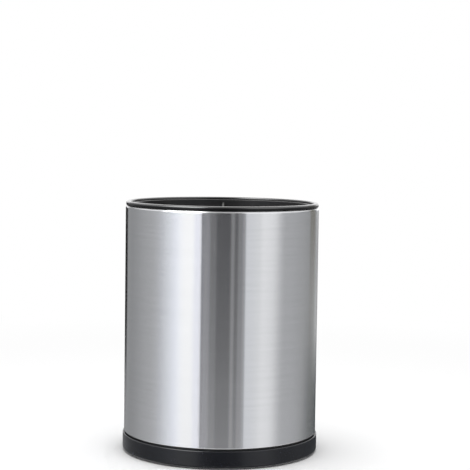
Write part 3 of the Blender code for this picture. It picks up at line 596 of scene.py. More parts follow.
fit("plinth_plate", plate_mesh, satin_plate, "base", "base_plate")

# Ballast: a plain ring cut from steel plate, which makes the base heavy enough to stay put. It lies between
# the deck and the base plate, and the four screw bosses pass through it.
BALLAST_BORE = 0.0140
BALLAST_HOLE = 0.0046
BALLAST_EASE = 0.0004
PLATED_STEEL = (0.58, 0.58, 0.56)
PLATED_WARM = (0.62, 0.58, 0.47)
PLATED_BARED = (0.75, 0.75, 0.75)


def ring_corners(outer, bore, low, high, bend):
    """The corners of a plain ring between two heights, all rounded alike."""
    return [(outer, high, bend), (outer, low, bend), (bore, low, bend), (bore, high, bend)]


def axis_distance(tree, axes):
    """How far a point lies from the axis: the length of (x, y, 0)."""
    level = add_node(tree, "CombineXYZ", {"X": axes["X"], "Y": axes["Y"]}).outputs[0]
    return add_node(tree, "VectorMath", {0: level}, operation="LENGTH").outputs["Value"]


def turning_group():
    """Lines round the axis: noise of the height plus the radius, so many lines a metre, which changes only
    slowly across x and y."""
    tree, given, result = new_group("turning_lines", ["Lines"], ["Height"])
    axes = add_node(tree, "SeparateXYZ", {0: given["Vector"]}).outputs
    depth = calculate(tree, "ADD", axes["Z"], axis_distance(tree, axes))
    depth = calculate(tree, "MULTIPLY", depth, given["Lines"])
    across = calculate(tree, "MULTIPLY", axes["X"], 30.0)
    along = calculate(tree, "MULTIPLY", axes["Y"], 30.0)
    place = add_node(tree, "CombineXYZ", {"X": across, "Y": along, "Z": depth}).outputs[0]
    tree.links.new(noise(tree, place, 1.0, 3.0, 0.65), result["Height"])
    return tree


turning_lines = turning_group()


def plated_finish(name, roughness, lines, rubs=0.2):
    """Zinc plated steel: a grey that turns warm in patches, fine turning lines, and small pale rubs."""
    finish, tree, shader, place = new_finish(name, {"Metallic": 1.0})
    line = use_group(tree, turning_lines, place, Lines=lines)["Height"]
    rubbed = use_group(tree, fine_rubs, place, Amount=rubs)["Share"]
    patches = ease(tree, noise(tree, place, 240.0, 3.0), 0.45, 0.75, 0.0, 0.6)
    colour = blend_colours(tree, patches, PLATED_STEEL, PLATED_WARM)
    colour = blend_colours(tree, rubbed, colour, PLATED_BARED)
    rough = ease(tree, line, 0.3, 0.7, roughness - 0.06, roughness + 0.08)
    set_surface(tree, shader, colour, rough, line, 0.3, 0.00002)
    return finish


ballast_low, ballast_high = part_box("ballast_ring")
ballast_corners = ring_corners(
    ballast_high.x, BALLAST_BORE, ballast_low.z, ballast_high.z, BALLAST_EASE
)
hole_steps = [(BALLAST_HOLE, ballast_low.z - OVERRUN, 0), (BALLAST_HOLE, ballast_high.z + OVERRUN, 0)]
ballast_holes = turned_plug(hole_steps, HOLE_COLUMNS, screw_places)
ballast_mesh = combined("DIFFERENCE", turned(ballast_corners), ballast_holes)
cut_plate = plated_finish("cut_plate", 0.42, 700.0, 0.5)
fit("ballast", ballast_mesh, cut_plate, "base", "ballast_ring")

# Base shell: the weighted base's black moulding, a low band that stands a millimetre proud of the sleeve.
# Its deck carries the ball race in a trough, its lip hides the gap, and four bosses below take the screws.
BAND_BOTTOM_ROUND = 0.0016
BAND_TOP_ROUND = 0.0008
BAND_WALL = 0.0022
BAND_SCUFF_HEIGHT = 0.0011
BAND_POLISH_DROP = 0.0008
SHELF_THICK = 0.0022
LIP_GAP = 0.0007
LIP_DROP = 0.0008
TROUGH_GAP = 0.0020
TURN_GAP = 0.0005
DECK_HUB = 0.0107
BOLT_HOLE = 0.0032
INSIDE_ROUND = 0.0004
EDGE_EASE = 0.0002
BOSS_RADIUS = 0.0040
BOSS_FOOT_ROUND = 0.0006
PILOT_RADIUS = 0.0015
SHINE_FADE = 0.0005
BAND_BLACK = (0.0052, 0.0060, 0.0092)


def gloss_finish(name, colour, roughness, scuffed, face_shine, polished, edge_shine, dust):
    """Moulded semi-gloss black: faint cloudiness, a very fine grain, rubs and dust. It is dull up to the
    scuffed height. The face's shine eases in above that, and the edge's above the polished height."""
    finish = moulded_finish(
        name,
        {"Specular IOR Level": 0.12, "Coat IOR": 1.9, "Coat Roughness": 0.2},
        (colour, shaded(colour, 1.25)),
        (roughness - 0.02, roughness + 0.05),
        (0.25, 0.00003),
        2400.0,
        dust,
        dulling=0.4,
        rubs=(0.3, shaded(colour, 3.0)),
    )
    tree = finish.node_tree
    place = add_node(tree, "TexCoord").outputs["Object"]
    height = add_node(tree, "SeparateXYZ", {0: place}).outputs["Z"]
    shine = ease(tree, height, polished, polished + SHINE_FADE, face_shine, edge_shine)
    shine = calculate(tree, "MULTIPLY", shine, ease(tree, height, scuffed, scuffed + SHINE_FADE))
    tree.links.new(shine, tree.nodes["Principled BSDF"].inputs["Coat Weight"])
    return finish


shell_low, shell_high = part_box("base_shell")
pan_low, pan_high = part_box("floor_pan")
race_low, race_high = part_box("lower_race")
lower_screw_boxes, lower_screw_places = like_boxes("lower_race_screw", 3)
band_bore = shell_high.x - BAND_WALL
shelf_top = shell_high.z - LIP_DROP
shelf_under = shelf_top - SHELF_THICK
trough_top = race_low.z - SEAT_GAP
trough_radius = race_high.x + TROUGH_GAP
deck_under = ballast_high.z + SEAT_GAP
deck_hub_top = pan_low.z - TURN_GAP
shell_corners = [
    (shell_high.x, shell_high.z, BAND_TOP_ROUND),
    (shell_high.x, shell_low.z, BAND_BOTTOM_ROUND),
    (band_bore, shell_low.z, EDGE_EASE),
    (band_bore, shelf_under, INSIDE_ROUND),
    (trough_radius + SHELF_THICK, shelf_under, INSIDE_ROUND),
    (trough_radius + SHELF_THICK, deck_under, INSIDE_ROUND),
    (BOLT_HOLE, deck_under, EDGE_EASE),
    (BOLT_HOLE, deck_hub_top, EDGE_EASE),
    (DECK_HUB, deck_hub_top, EDGE_EASE),
    (DECK_HUB, trough_top, INSIDE_ROUND),
    (trough_radius, trough_top, INSIDE_ROUND),
    (trough_radius, shelf_top, EDGE_EASE),
    (pan_high.x + LIP_GAP, shelf_top, EDGE_EASE),
    (pan_high.x + LIP_GAP, shell_high.z, EDGE_EASE),
]
boss_foot = plate_high.z + SEAT_GAP
boss_steps = [
    (BOSS_RADIUS + BOSS_FOOT_ROUND, deck_under + OVERRUN, 0),
    (BOSS_RADIUS + BOSS_FOOT_ROUND, deck_under - EDGE_EASE, 0),
    (BOSS_RADIUS, deck_under - BOSS_FOOT_ROUND - EDGE_EASE, 0),
    (BOSS_RADIUS, boss_foot, EDGE_EASE),
]
pilot_steps = [
    (0, deck_under + SEAT_GAP / 2, 0),
    (PILOT_RADIUS, deck_under - SEAT_GAP, 0),
    (PILOT_RADIUS, boss_foot - OVERRUN, 0),
]
deck_pilot_steps = [
    (PILOT_RADIUS, lower_screw_boxes[0][0].z - SEAT_GAP, 0),
    (PILOT_RADIUS, trough_top + OVERRUN, 0),
]
bosses = turned_plug(boss_steps, HOLE_COLUMNS, screw_places)
pilots = turned_plug(pilot_steps, SMALL_COLUMNS, screw_places)
deck_pilots = turned_plug(deck_pilot_steps, SMALL_COLUMNS, lower_screw_places)
shell_mesh = combined("UNION", turned(shell_corners), bosses)
shell_mesh = combined("DIFFERENCE", shell_mesh, pilots, deck_pilots)
band_scuffed = shell_low.z + BAND_SCUFF_HEIGHT
band_polished = shell_high.z - BAND_POLISH_DROP
band_black = gloss_finish("band_black", BAND_BLACK, 0.25, band_scuffed, 0.20, band_polished, 0.33, 0.02)
fit("plinth", shell_mesh, band_black, "base", "base_shell")

# Base plate screws: four pan head screws of zinc plated steel with a cross recess and a coarse thread. They
# go up through the plate's counterbores and the ballast's holes, and cut their own thread in the bosses.
PLATE_SCREW = {"head": 0.0030, "deep": 0.0011, "shank": 0.0014, "pitch": 0.0011, "recess": 0.0017}
# Shares of the head's radius.
CROWN_FLAT, CROWN_ROUND, BROW_ROUND, RIM_ROUND = 0.62, 0.50, 0.15, 0.04
# Shares of the head's depth.
BROW_DEPTH, RECESS_DEPTH, RECESS_OVERRUN = 0.45, 0.64, 0.20
# Shares of the recess's reach.
RECESS_WIDTH, RECESS_FLOOR, RECESS_MOUTH = 0.24, 0.62, 1.15
# Shares of the shank's radius.
TIP_RADIUS, TIP_LENGTH, THREAD_DEPTH = 0.45, 0.80, 0.22
PITCH_STEPS = 8


def add_levels(section, radius, levels):
    """The section with points added at these heights on its longest upright stretch at this radius."""
    ahead = np.roll(section, -1)
    upright = (abs(section.real - radius) < SAME_RADIUS) & (abs(ahead.real - radius) < SAME_RADIUS)
    first = np.argmax(abs(ahead - section) * upright)
    ordered = np.sort(levels)
    if ahead[first].imag < section[first].imag:
        ordered = ordered[::-1]
    return np.insert(section, first + 1, radius + 1j * ordered)


def with_thread(grid, shank, low, high, pitch):
    """The grid with a right-hand thread cut into its shank between two heights.

    How far a point lies from the crest is a triangle wave of height / pitch - angle / turn. It moves in by
    the thread's depth times that, faded out over half a pitch at each end of the thread."""
    turn = np.arctan2(grid[..., 1], grid[..., 0]) / math.tau
    climb = grid[..., 2] / pitch - turn
    valley = abs(2 * (climb - np.floor(climb)) - 1)
    inside = np.minimum(grid[..., 2] - low, high - grid[..., 2])
    on_shank = abs(np.hypot(grid[..., 0], grid[..., 1]) - shank) < SAME_RADIUS
    cut = shank * THREAD_DEPTH * valley * np.clip(inside / (pitch / 2), 0, 1) * on_shank
    grid[..., :2] *= (1 - cut / shank)[..., None]
    return grid


def prism_grid(outline, levels, shares):
    """An outline, as x + y × 1j and counter-clockwise, closed by a pole at each end.

    Each ring is the outline times its share at its level, from the top down."""
    rings = np.outer(shares, outline)
    heights = np.repeat(np.array(levels, float)[:, None], len(outline), 1)
    grid = np.stack([rings.real, rings.imag, heights], -1)
    poles = np.zeros((2, 1, len(outline), 3))
    poles[0, ..., 2], poles[1, ..., 2] = levels[0], levels[-1]
    return np.concatenate([poles[0], grid, poles[1]])


def screw_mesh(place, face, end, head, deep, shank, pitch, recess):
    """A pan head screw whose head face and tip lie at two heights, with a cross recess and a thread."""
    way = math.copysign(1, end - face)
    under = face + way * deep
    tip = end - way * shank * TIP_LENGTH
    corners = [
        (0, face, 0),
        (head * CROWN_FLAT, face, head * CROWN_ROUND),
        (head, face + way * deep * BROW_DEPTH, head * BROW_ROUND),
        (head, under, head * RIM_ROUND),
        (shank, under, 0),
        (shank, tip, 0),
        (shank * TIP_RADIUS, end, 0),
        (0, end, 0),
    ]
    low, high = sorted((under, tip))
    levels = np.arange(low + pitch / PITCH_STEPS, high, pitch / PITCH_STEPS)
    grid = turned_grid(add_levels(rounded(corners, 4), shank, levels), SMALL_COLUMNS)
    grid = with_thread(grid, shank, low, high, pitch)
    width = recess * RECESS_WIDTH
    arm = np.array([recess - 1j * width, recess + 1j * width, width + 1j * width])
    cross = np.concatenate([arm * 1j**quarter for quarter in range(4)])
    levels = face + way * np.array([deep * RECESS_DEPTH, -deep * RECESS_OVERRUN])
    shares = np.array([RECESS_FLOOR, RECESS_MOUTH])
    order = np.argsort(-levels)
    cutter = grid_mesh(prism_grid(cross, levels[order], shares[order]), [place])
    return combined("DIFFERENCE", grid_mesh(grid, [place]), cutter)


def fit_screws(name, body, node, boxes, places, heads_up, sizes):
    """A row of like screws, one in each box, with their heads at its top or at its bottom."""
    for number, ((low, high), place) in enumerate(zip(boxes, places), 1):
        face, end = (high.z, low.z) if heads_up else (low.z, high.z)
        mesh = screw_mesh(place, face, end, **sizes)
        fit(f"{name}_{number}", mesh, plated_screw, body, f"{node}_{number}")


plated_screw = plated_finish("plated_screw", 0.30, 2500.0)
fit_screws("plinth_screw", "base", "base_plate_screw", screw_boxes, screw_places, False, PLATE_SCREW)

# Ball race: a lower and an upper ring of plated steel with a ground groove, and between them twelve steel
# balls in a nylon cage. The rings are screwed to the deck and to the pan, and the balls carry the canister.
BALL_COUNT = 12
BALL_TRACK = 0.0480
BALL_CLEARANCE = 0.0002
BALL_ROWS = 25
RACE_BORE = 0.0420
RACE_EASE = 0.0003
RACE_WELL = 0.0028
RACE_WELL_DEPTH = 0.0016
RACE_HOLE = 0.0014
RACE_WELL_COLUMNS = 40
GROOVE_SHARE = 0.9999
CAGE_WINDOW = 0.0028
CAGE_EASE = 0.0003
NYLON = (0.70, 0.69, 0.64)
NYLON_AMBER = (0.66, 0.62, 0.52)
BALL_STEEL = (0.66, 0.67, 0.68)
GREASE = (0.42, 0.36, 0.22)


def ball_finish():
    """Ground steel balls: a bright mirror with a thin patchy film of grease."""
    finish, tree, shader, place = new_finish("ball_mirror", {"Metallic": 1.0})
    film = ease(tree, noise(tree, place, 420.0, 3.0), 0.46, 0.72)
    colour = blend_colours(tree, calculate(tree, "MULTIPLY", film, 0.35), BALL_STEEL, GREASE)
    set_surface(tree, shader, colour, ease(tree, film, 0.0, 1.0, 0.08, 0.20), film, 0.2, 0.00001)
    return finish


def nylon_finish():
    """Natural nylon: milky, a little amber in patches, slightly translucent, with a waxy grain and grease."""
    waxy = {"Subsurface Weight": 0.15, "Subsurface Scale": 0.001, "Specular IOR Level": 0.45}
    tones = NYLON, NYLON_AMBER
    return moulded_finish("natural_nylon", waxy, tones, (0.38, 0.48), (0.2, 0.00003), 1800.0, 0.15, GREASE)


def race_mesh(outside, inside, places):
    """A ring between two heights, grooved for the balls in its inside face and drilled for its screws.

    The groove's arc is the round of a corner where its end tangents meet, which lies radius² / drop from
    the balls' level, where the drop is the way from that level to the inside face."""
    drop = abs(inside - ball_level)
    way = math.copysign(1, inside - ball_level)
    mouth = math.sqrt(track_radius**2 - drop**2)
    corners = [
        (race_high.x, outside, RACE_EASE),
        (race_high.x, inside, RACE_EASE),
        (BALL_TRACK + mouth, inside, 0),
        (BALL_TRACK, ball_level + way * track_radius**2 / drop, track_radius * GROOVE_SHARE),
        (BALL_TRACK - mouth, inside, 0),
        (RACE_BORE, inside, RACE_EASE),
        (RACE_BORE, outside, RACE_EASE),
    ]
    floor = inside + way * RACE_WELL_DEPTH
    steps = [
        (RACE_WELL, inside - way * OVERRUN, 0),
        (RACE_WELL, floor, 0),
        (RACE_HOLE, floor, 0),
        (RACE_HOLE, outside + way * OVERRUN, 0),
    ]
    return combined("DIFFERENCE", turned(corners, spans=12), turned_plug(steps, RACE_WELL_COLUMNS, places))


ball_low, ball_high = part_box("bearing_ball_01")
ball_level = (ball_low.z + ball_high.z) / 2
ball_radius = (ball_high.z - ball_low.z) / 2
track_radius = ball_radius + BALL_CLEARANCE
plated_race = plated_finish("plated_race", 0.24, 3000.0, 0.3)
lower_mesh = race_mesh(race_low.z, race_high.z, lower_screw_places)
fit("lower_ball_race", lower_mesh, plated_race, "base", "lower_race")

cage_low, cage_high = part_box("ball_cage")
cage_corners = ring_corners(cage_high.x, 2 * BALL_TRACK - cage_high.x, cage_low.z, cage_high.z, CAGE_EASE)
window_steps = [(CAGE_WINDOW, cage_low.z - OVERRUN, 0), (CAGE_WINDOW, cage_high.z + OVERRUN, 0)]
ball_places = round_the_axis(BALL_COUNT, BALL_TRACK)
windows = turned_plug(window_steps, HOLE_COLUMNS, ball_places)
cage_mesh = combined("DIFFERENCE", turned(cage_corners), windows)
natural_nylon = nylon_finish()
fit("race_cage", cage_mesh, natural_nylon, "cage", "ball_cage")

quarters = np.linspace(math.pi / 2, -math.pi / 2, BALL_ROWS)
ball_section = 1j * ball_level + ball_radius * np.exp(1j * quarters)
ball_section.real[[0, -1]] = 0
ball_mirror = ball_finish()
for number, place in enumerate(ball_places, 1):
    ball_mesh = grid_mesh(turned_grid(ball_section, HOLE_COLUMNS), [place])
    node = f"bearing_ball_{number:02d}"
    fit(f"race_ball_{number:02d}", ball_mesh, ball_mirror, "cage", node)

upper_low, upper_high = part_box("upper_race")
upper_screw_boxes, upper_screw_places = like_boxes("upper_race_screw", 3)
upper_mesh = race_mesh(upper_high.z, upper_low.z, upper_screw_places)
fit("upper_ball_race", upper_mesh, plated_race, "canister", "upper_race")

# Race screws: three short screws hold each ring of the ball race, sunk into it so that the rings can turn
# over each other. The lower three stand with their heads up, and the upper three with their heads down.
RACE_SCREW = {"head": 0.0025, "deep": 0.0013, "shank": 0.0011, "pitch": 0.0009, "recess": 0.0014}

for level, body, boxes, places, heads_up in (
    ("lower", "base", lower_screw_boxes, lower_screw_places, True),
    ("upper", "canister", upper_screw_boxes, upper_screw_places, False),
):
    fit_screws(f"{level}_ring_screw", body, f"{level}_race_screw", boxes, places, heads_up, RACE_SCREW)

# Pivot: a shoulder bolt holds the canister down on the race. It runs through a thrust washer, a nylon bush
# in the pan's hub, and the deck, and a lock nut with a nylon ring and its washer hold it from below.
BOLT_HEAD_DEEP = 0.0024
BOLT_SOCKET = 0.0023
BOLT_SOCKET_DEEP = 0.0013
BOLT_SHOULDER = 0.0040
BOLT_THREAD = 0.0029
BOLT_PITCH = 0.0010
BOLT_PITCH_STEPS = 10
BOLT_EASE = 0.0003
BOLT_COLUMNS = 64
PIVOT_COLUMNS = 96
WASHER_BORE = 0.0043
NUT_WASHER_BORE = 0.0032
WASHER_EASE = 0.00015
BUSH_RADIUS = 0.0057
BUSH_FLANGE = 0.0010
NUT_HEX_HIGH = 0.0016
NUT_COLLAR = 0.00458
NUT_BORE = 0.0031
NUT_EASE = 0.00025
NUT_ROWS = 18
NUT_CHAMFER = math.radians(60)
HEXAGON = 6


def hexagon_radius(corner, turn, angles):
    """The radius of a hexagon at each angle: its flat's distance over the cosine of the angle from the
    middle of the nearest flat. One corner lies at the turn."""
    flat = corner * math.cos(math.pi / HEXAGON)
    step = math.tau / HEXAGON
    from_flat = np.mod(angles - turn, step) - step / 2
    return flat / np.cos(from_flat)


def washer_mesh(node, bore):
    """A flat washer with eased edges between the corners of its node's box."""
    low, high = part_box(node)
    return turned(ring_corners(high.x, bore, low.z, high.z, WASHER_EASE), PIVOT_COLUMNS)


bolt_low, bolt_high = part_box("pivot_bolt")
head_under = bolt_high.z - BOLT_HEAD_DEEP
shoulder_end = deck_hub_top + SEAT_GAP
bolt_corners = [
    (0, bolt_high.z, 0),
    (bolt_high.x, bolt_high.z, BOLT_EASE * 2),
    (bolt_high.x, head_under, BOLT_EASE / 2),
    (BOLT_SHOULDER, head_under, 0),
    (BOLT_SHOULDER, shoulder_end, BOLT_EASE),
    (BOLT_THREAD, shoulder_end, 0),
    (BOLT_THREAD, bolt_low.z + BOLT_EASE * 2, 0),
    (BOLT_THREAD - BOLT_EASE * 2, bolt_low.z, 0),
    (0, bolt_low.z, 0),
]
thread_levels = np.arange(bolt_low.z + BOLT_EASE * 3, shoulder_end, BOLT_PITCH / BOLT_PITCH_STEPS)
bolt_grid = turned_grid(add_levels(rounded(bolt_corners), BOLT_THREAD, thread_levels), BOLT_COLUMNS)
bolt_grid = with_thread(bolt_grid, BOLT_THREAD, bolt_low.z, shoulder_end, BOLT_PITCH)
socket_outline = BOLT_SOCKET * np.exp(1j * even_angles(HEXAGON))
socket_levels = [bolt_high.z + OVERRUN, bolt_high.z - BOLT_SOCKET_DEEP]
socket_mesh = grid_mesh(prism_grid(socket_outline, socket_levels, [1, 1]))
bolt_mesh = combined("DIFFERENCE", grid_mesh(bolt_grid), socket_mesh)
plated_pivot = plated_finish("plated_pivot", 0.28, 2000.0)
fit("shoulder_bolt", bolt_mesh, plated_pivot, "base", "pivot_bolt")

for name, body, node, bore in (
    ("head_washer", "canister", "thrust_washer", WASHER_BORE),
    ("nut_washer", "base", "pivot_nut_washer", NUT_WASHER_BORE),
):
    fit(name, washer_mesh(node, bore), plated_pivot, body, node)

bush_low, bush_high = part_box("pivot_bush")
bush_corners = [
    (bush_high.x, bush_high.z, BOLT_EASE),
    (bush_high.x, bush_high.z - BUSH_FLANGE, BOLT_EASE),
    (BUSH_RADIUS, bush_high.z - BUSH_FLANGE, 0),
    (BUSH_RADIUS, bush_low.z, BOLT_EASE),
    (WASHER_BORE, bush_low.z, BOLT_EASE),
    (WASHER_BORE, bush_high.z, BOLT_EASE),
]
fit("flanged_bush", turned(bush_corners, PIVOT_COLUMNS), natural_nylon, "canister", "pivot_bush")

nut_low, nut_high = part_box("pivot_lock_nut")
nut_hex_low = nut_high.z - NUT_HEX_HIGH
nut_corner = nut_high.y
nut_corners = [
    (nut_corner, nut_high.z, 0),
    (nut_corner, nut_hex_low, 0),
    (NUT_COLLAR, nut_hex_low, 0),
    (NUT_COLLAR, nut_low.z, NUT_EASE),
    (NUT_BORE, nut_low.z, NUT_EASE),
    (NUT_BORE, nut_high.z, NUT_EASE),
]
chamfer_levels = np.linspace(nut_hex_low, nut_high.z, NUT_ROWS)[1:-1]
nut_angles = even_angles(PIVOT_COLUMNS)
nut_grid = turned_grid(add_levels(rounded(nut_corners), nut_corner, chamfer_levels), nut_angles)
hexagon = hexagon_radius(nut_corner, math.pi / 2, nut_angles)
nut_reach = np.hypot(nut_grid[..., 0], nut_grid[..., 1])
from_face = np.minimum(nut_grid[..., 2] - nut_hex_low, nut_high.z - nut_grid[..., 2])
chamfer_cone = nut_corner * math.cos(math.pi / HEXAGON) + from_face * math.tan(NUT_CHAMFER)
on_hexagon = nut_reach > NUT_COLLAR + NUT_EASE
nut_radius = np.where(on_hexagon, np.minimum(np.minimum(hexagon, chamfer_cone), nut_reach), nut_reach)
nut_grid[..., :2] *= (nut_radius / nut_reach)[..., None]
fit("lock_nut", grid_mesh(nut_grid), plated_pivot, "base", "pivot_lock_nut")

# Floor pan: the canister's plastic bottom, a satin black moulding plugged into the sleeve's lower end. Its
# flange shows as the dark line over the base, and six snap barbs catch behind the turned-in steel. Its black
# is painted darker than the other mouldings, as painted shade in the deep gap between sleeve and base.
SHEET = 0.0005
TURN_IN = 0.0025
PAN_WALL = 0.0022
PAN_FLANGE = 0.0012
PAN_DECK = 0.0024
PAN_HUB = 0.0107
PAN_CUP = 0.0085
PAN_BUSH_HOLE = 0.0060
PAN_EASE = 0.0003
BARB_COUNT = 6
BARB_WIDTH = 0.0120
BARB_HEIGHT = 0.0036
BARB_REACH = 0.0015
BARB_STEP = 0.00005
BARB_SIDE = 0.0002
BARB_ROWS = 5
# The pan's black is darker than the other satin blacks. The difference is painted shade for the gap over the
# base.
PAN_BLACK_AND_GAP_SHADE = (0.0080, 0.0082, 0.0090)


def barb_angles(radius):
    """Even angles with more of them at both ends of each barb's sides, and the barbs' middle angles."""
    middles = math.pi / BARB_COUNT + even_angles(BARB_COUNT)
    half = BARB_WIDTH / 2
    sides = np.array([-half - BARB_SIDE, -half, half, half + BARB_SIDE])
    added = np.mod((middles[:, None] + sides / radius).ravel(), math.tau)
    even = even_angles(ROUND_COLUMNS)
    apart = abs(even[:, None] - added).min(1) > BARB_SIDE / radius
    return np.sort(np.concatenate([even[apart], added])), middles


def barbed_grid(corners, wall, catch, way):
    """A turned piece whose upright wall carries snap barbs from the catch level on, up or down.

    A barb stands out at its catch face by the reach and falls back to the wall over its height. Across its
    width it is full, and it ends within its sides."""
    angles, middles = barb_angles(wall)
    levels = catch + way * np.concatenate([[0], np.linspace(BARB_STEP, BARB_HEIGHT, BARB_ROWS)])
    grid = turned_grid(add_levels(rounded(corners), wall, levels), angles)
    along = (grid[..., 2] - catch) * way
    rise = np.clip(along / BARB_STEP, 0, 1) * np.clip((BARB_HEIGHT - along) / (BARB_HEIGHT - BARB_STEP), 0, 1)
    apart = abs(np.angle(np.exp(1j * (angles[:, None] - middles)))).min(1) * wall
    across = np.clip((BARB_WIDTH / 2 + BARB_SIDE - apart) / BARB_SIDE, 0, 1)
    on_wall = abs(np.hypot(grid[..., 0], grid[..., 1]) - wall) < SAME_RADIUS
    grid[..., :2] *= (1 + BARB_REACH / wall * rise * across * on_wall)[..., None]
    return grid


sleeve_low, sleeve_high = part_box("steel_sleeve")
mat_low, mat_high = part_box("grip_mat")
plug_radius = sleeve_high.x - TURN_IN - SEAT_GAP
pan_bore = plug_radius - PAN_WALL
flange_top = sleeve_low.z - SEAT_GAP
flange_bottom = flange_top - PAN_FLANGE
pan_floor = mat_low.z - SEAT_GAP
pan_under = pan_floor - PAN_DECK
bush_seat = bush_high.z - BUSH_FLANGE - SEAT_GAP
pan_corners = [
    (plug_radius, pan_high.z, PAN_EASE),
    (plug_radius, flange_top, PAN_EASE / 2),
    (pan_high.x, flange_top, PAN_EASE),
    (pan_high.x, flange_bottom, PAN_EASE),
    (pan_bore, flange_bottom, PAN_EASE),
    (pan_bore, pan_under, PAN_EASE),
    (PAN_HUB, pan_under, PAN_EASE),
    (PAN_HUB, pan_low.z, PAN_EASE),
    (PAN_BUSH_HOLE, pan_low.z, PAN_EASE),
    (PAN_BUSH_HOLE, bush_seat, 0),
    (PAN_CUP, bush_seat, PAN_EASE),
    (PAN_CUP, pan_floor, PAN_EASE),
    (pan_bore, pan_floor, PAN_EASE * 2),
    (pan_bore, pan_high.z, PAN_EASE),
]
pan_catch = sleeve_low.z + SHEET + SEAT_GAP
pan_body = grid_mesh(barbed_grid(pan_corners, plug_radius, pan_catch, 1))
upper_screw_tip = upper_screw_boxes[0][1].z
pan_pilot_steps = [
    (PILOT_RADIUS, pan_under - OVERRUN, 0),
    (PILOT_RADIUS, upper_screw_tip + SEAT_GAP, 0),
    (0, upper_screw_tip + PILOT_RADIUS, 0),
]
pan_mesh = combined("DIFFERENCE", pan_body, turned_plug(pan_pilot_steps, SMALL_COLUMNS, upper_screw_places))
# This finish's extra-dark black is painted shade for the gap between sleeve and base.
satin_pan_and_gap_shade = satin_finish("satin_pan_and_gap_shade", PAN_BLACK_AND_GAP_SHADE, 0.46, 3200.0, 0.25, 0.2)
fit("canister_floor", pan_mesh, satin_pan_and_gap_shade, "canister", "floor_pan")

# Steel sleeve: half-millimetre stainless sheet, rolled into a tube and welded down the back, with both
# edges turned in. It is brushed round the axis, so it mirrors the room crisply across and smears it upright.
SLEEVE_TOP_BEND = 0.0020
SLEEVE_LOW_BEND = 0.0009
SLEEVE_SPANS = 8
SHEET_EASE = 0.00012
SEAM_DEPTH = 0.00008
SEAM_HALF = 0.0005
SEAM_COLUMNS = 13
STEEL_DARK = (0.638, 0.645, 0.658)
STEEL_LIGHT = (0.682, 0.687, 0.702)
STEEL_WORN = (0.90, 0.90, 0.91)
STEEL_INSIDE = (0.50, 0.505, 0.51)
WELD_TINT = (0.52, 0.50, 0.46)
WORN_WIDTH = 0.0012
WORN_SHARE = 0.8
BRUSH_FINE = (0.040, 0.040, 0.0004)
BRUSH_BROAD = (0.080, 0.080, 0.0020)


def edge_wear_group():
    """Wear along a turned edge: one minus the distance in height from the edge over the width, eased, times
    patchy noise."""
    tree, given, result = new_group("edge_wear", ["Level", "Width"], ["Share"])
    height = add_node(tree, "SeparateXYZ", {0: given["Vector"]}).outputs["Z"]
    distance = calculate(tree, "ABSOLUTE", calculate(tree, "SUBTRACT", height, given["Level"]))
    near = ease(tree, calculate(tree, "DIVIDE", distance, given["Width"]), 0.0, 1.0, 1.0, 0.0)
    patches = ease(tree, noise(tree, given["Vector"], 130.0, 4.0, 0.7), 0.42, 0.66)
    tree.links.new(calculate(tree, "MULTIPLY", near, patches), result["Share"])
    return tree


edge_wear = edge_wear_group()


def brushed_finish():
    """Brushed stainless: long level scratches in tone, roughness and height, soft handling marks, a dull
    weld line at the back, brighter turned edges, and plain mill finish inside."""
    sockets = {"Metallic": 1.0, "Anisotropic": 1.0, "Anisotropic Rotation": 0.25}
    finish, tree, shader, place = new_finish("brushed_stainless", sockets)
    fine = noise(tree, stretched(tree, place, BRUSH_FINE), 1.0, 4.0, 0.7)
    broad = noise(tree, stretched(tree, place, BRUSH_BROAD), 1.0, 2.0)
    handled = ease(tree, noise(tree, place, 26.0, 4.0, 0.6), 0.50, 0.72)
    axes = add_node(tree, "SeparateXYZ", {0: place}).outputs
    radius = axis_distance(tree, axes)
    outer = ease(tree, radius, sleeve_high.x - SHEET * 0.9, sleeve_high.x - SHEET * 0.5)
    behind = ease(tree, axes["Y"], 0.0, sleeve_high.x / 2)
    beside = calculate(tree, "ABSOLUTE", axes["X"])
    weld = calculate(tree, "MULTIPLY", ease(tree, beside, SEAM_HALF, SEAM_HALF * 3, 1.0, 0.0), behind)
    tone = calculate(tree, "ADD", ease(tree, fine, 0.2, 0.8, 0.0, 0.7), ease(tree, broad, 0.3, 0.7, 0.0, 0.3))
    colour = blend_colours(tree, tone, STEEL_DARK, STEEL_LIGHT)
    colour = blend_colours(tree, calculate(tree, "MULTIPLY", weld, 0.5), colour, WELD_TINT)
    for edge in (sleeve_low.z, sleeve_high.z):
        worn = use_group(tree, edge_wear, place, Level=edge, Width=WORN_WIDTH)["Share"]
        colour = blend_colours(tree, calculate(tree, "MULTIPLY", worn, WORN_SHARE), colour, STEEL_WORN)
    colour = blend_colours(tree, outer, STEEL_INSIDE, colour)
    rough = ease(tree, fine, 0.2, 0.8, 0.165, 0.180)
    rough = calculate(tree, "ADD", rough, calculate(tree, "MULTIPLY", handled, 0.006))
    rough = calculate(tree, "ADD", rough, calculate(tree, "MULTIPLY", weld, 0.10))
    rough = calculate(tree, "ADD", rough, ease(tree, outer, 0.0, 1.0, 0.12, 0.0))
    set_surface(tree, shader, colour, rough, fine, 0.2, 0.000002)
    return finish


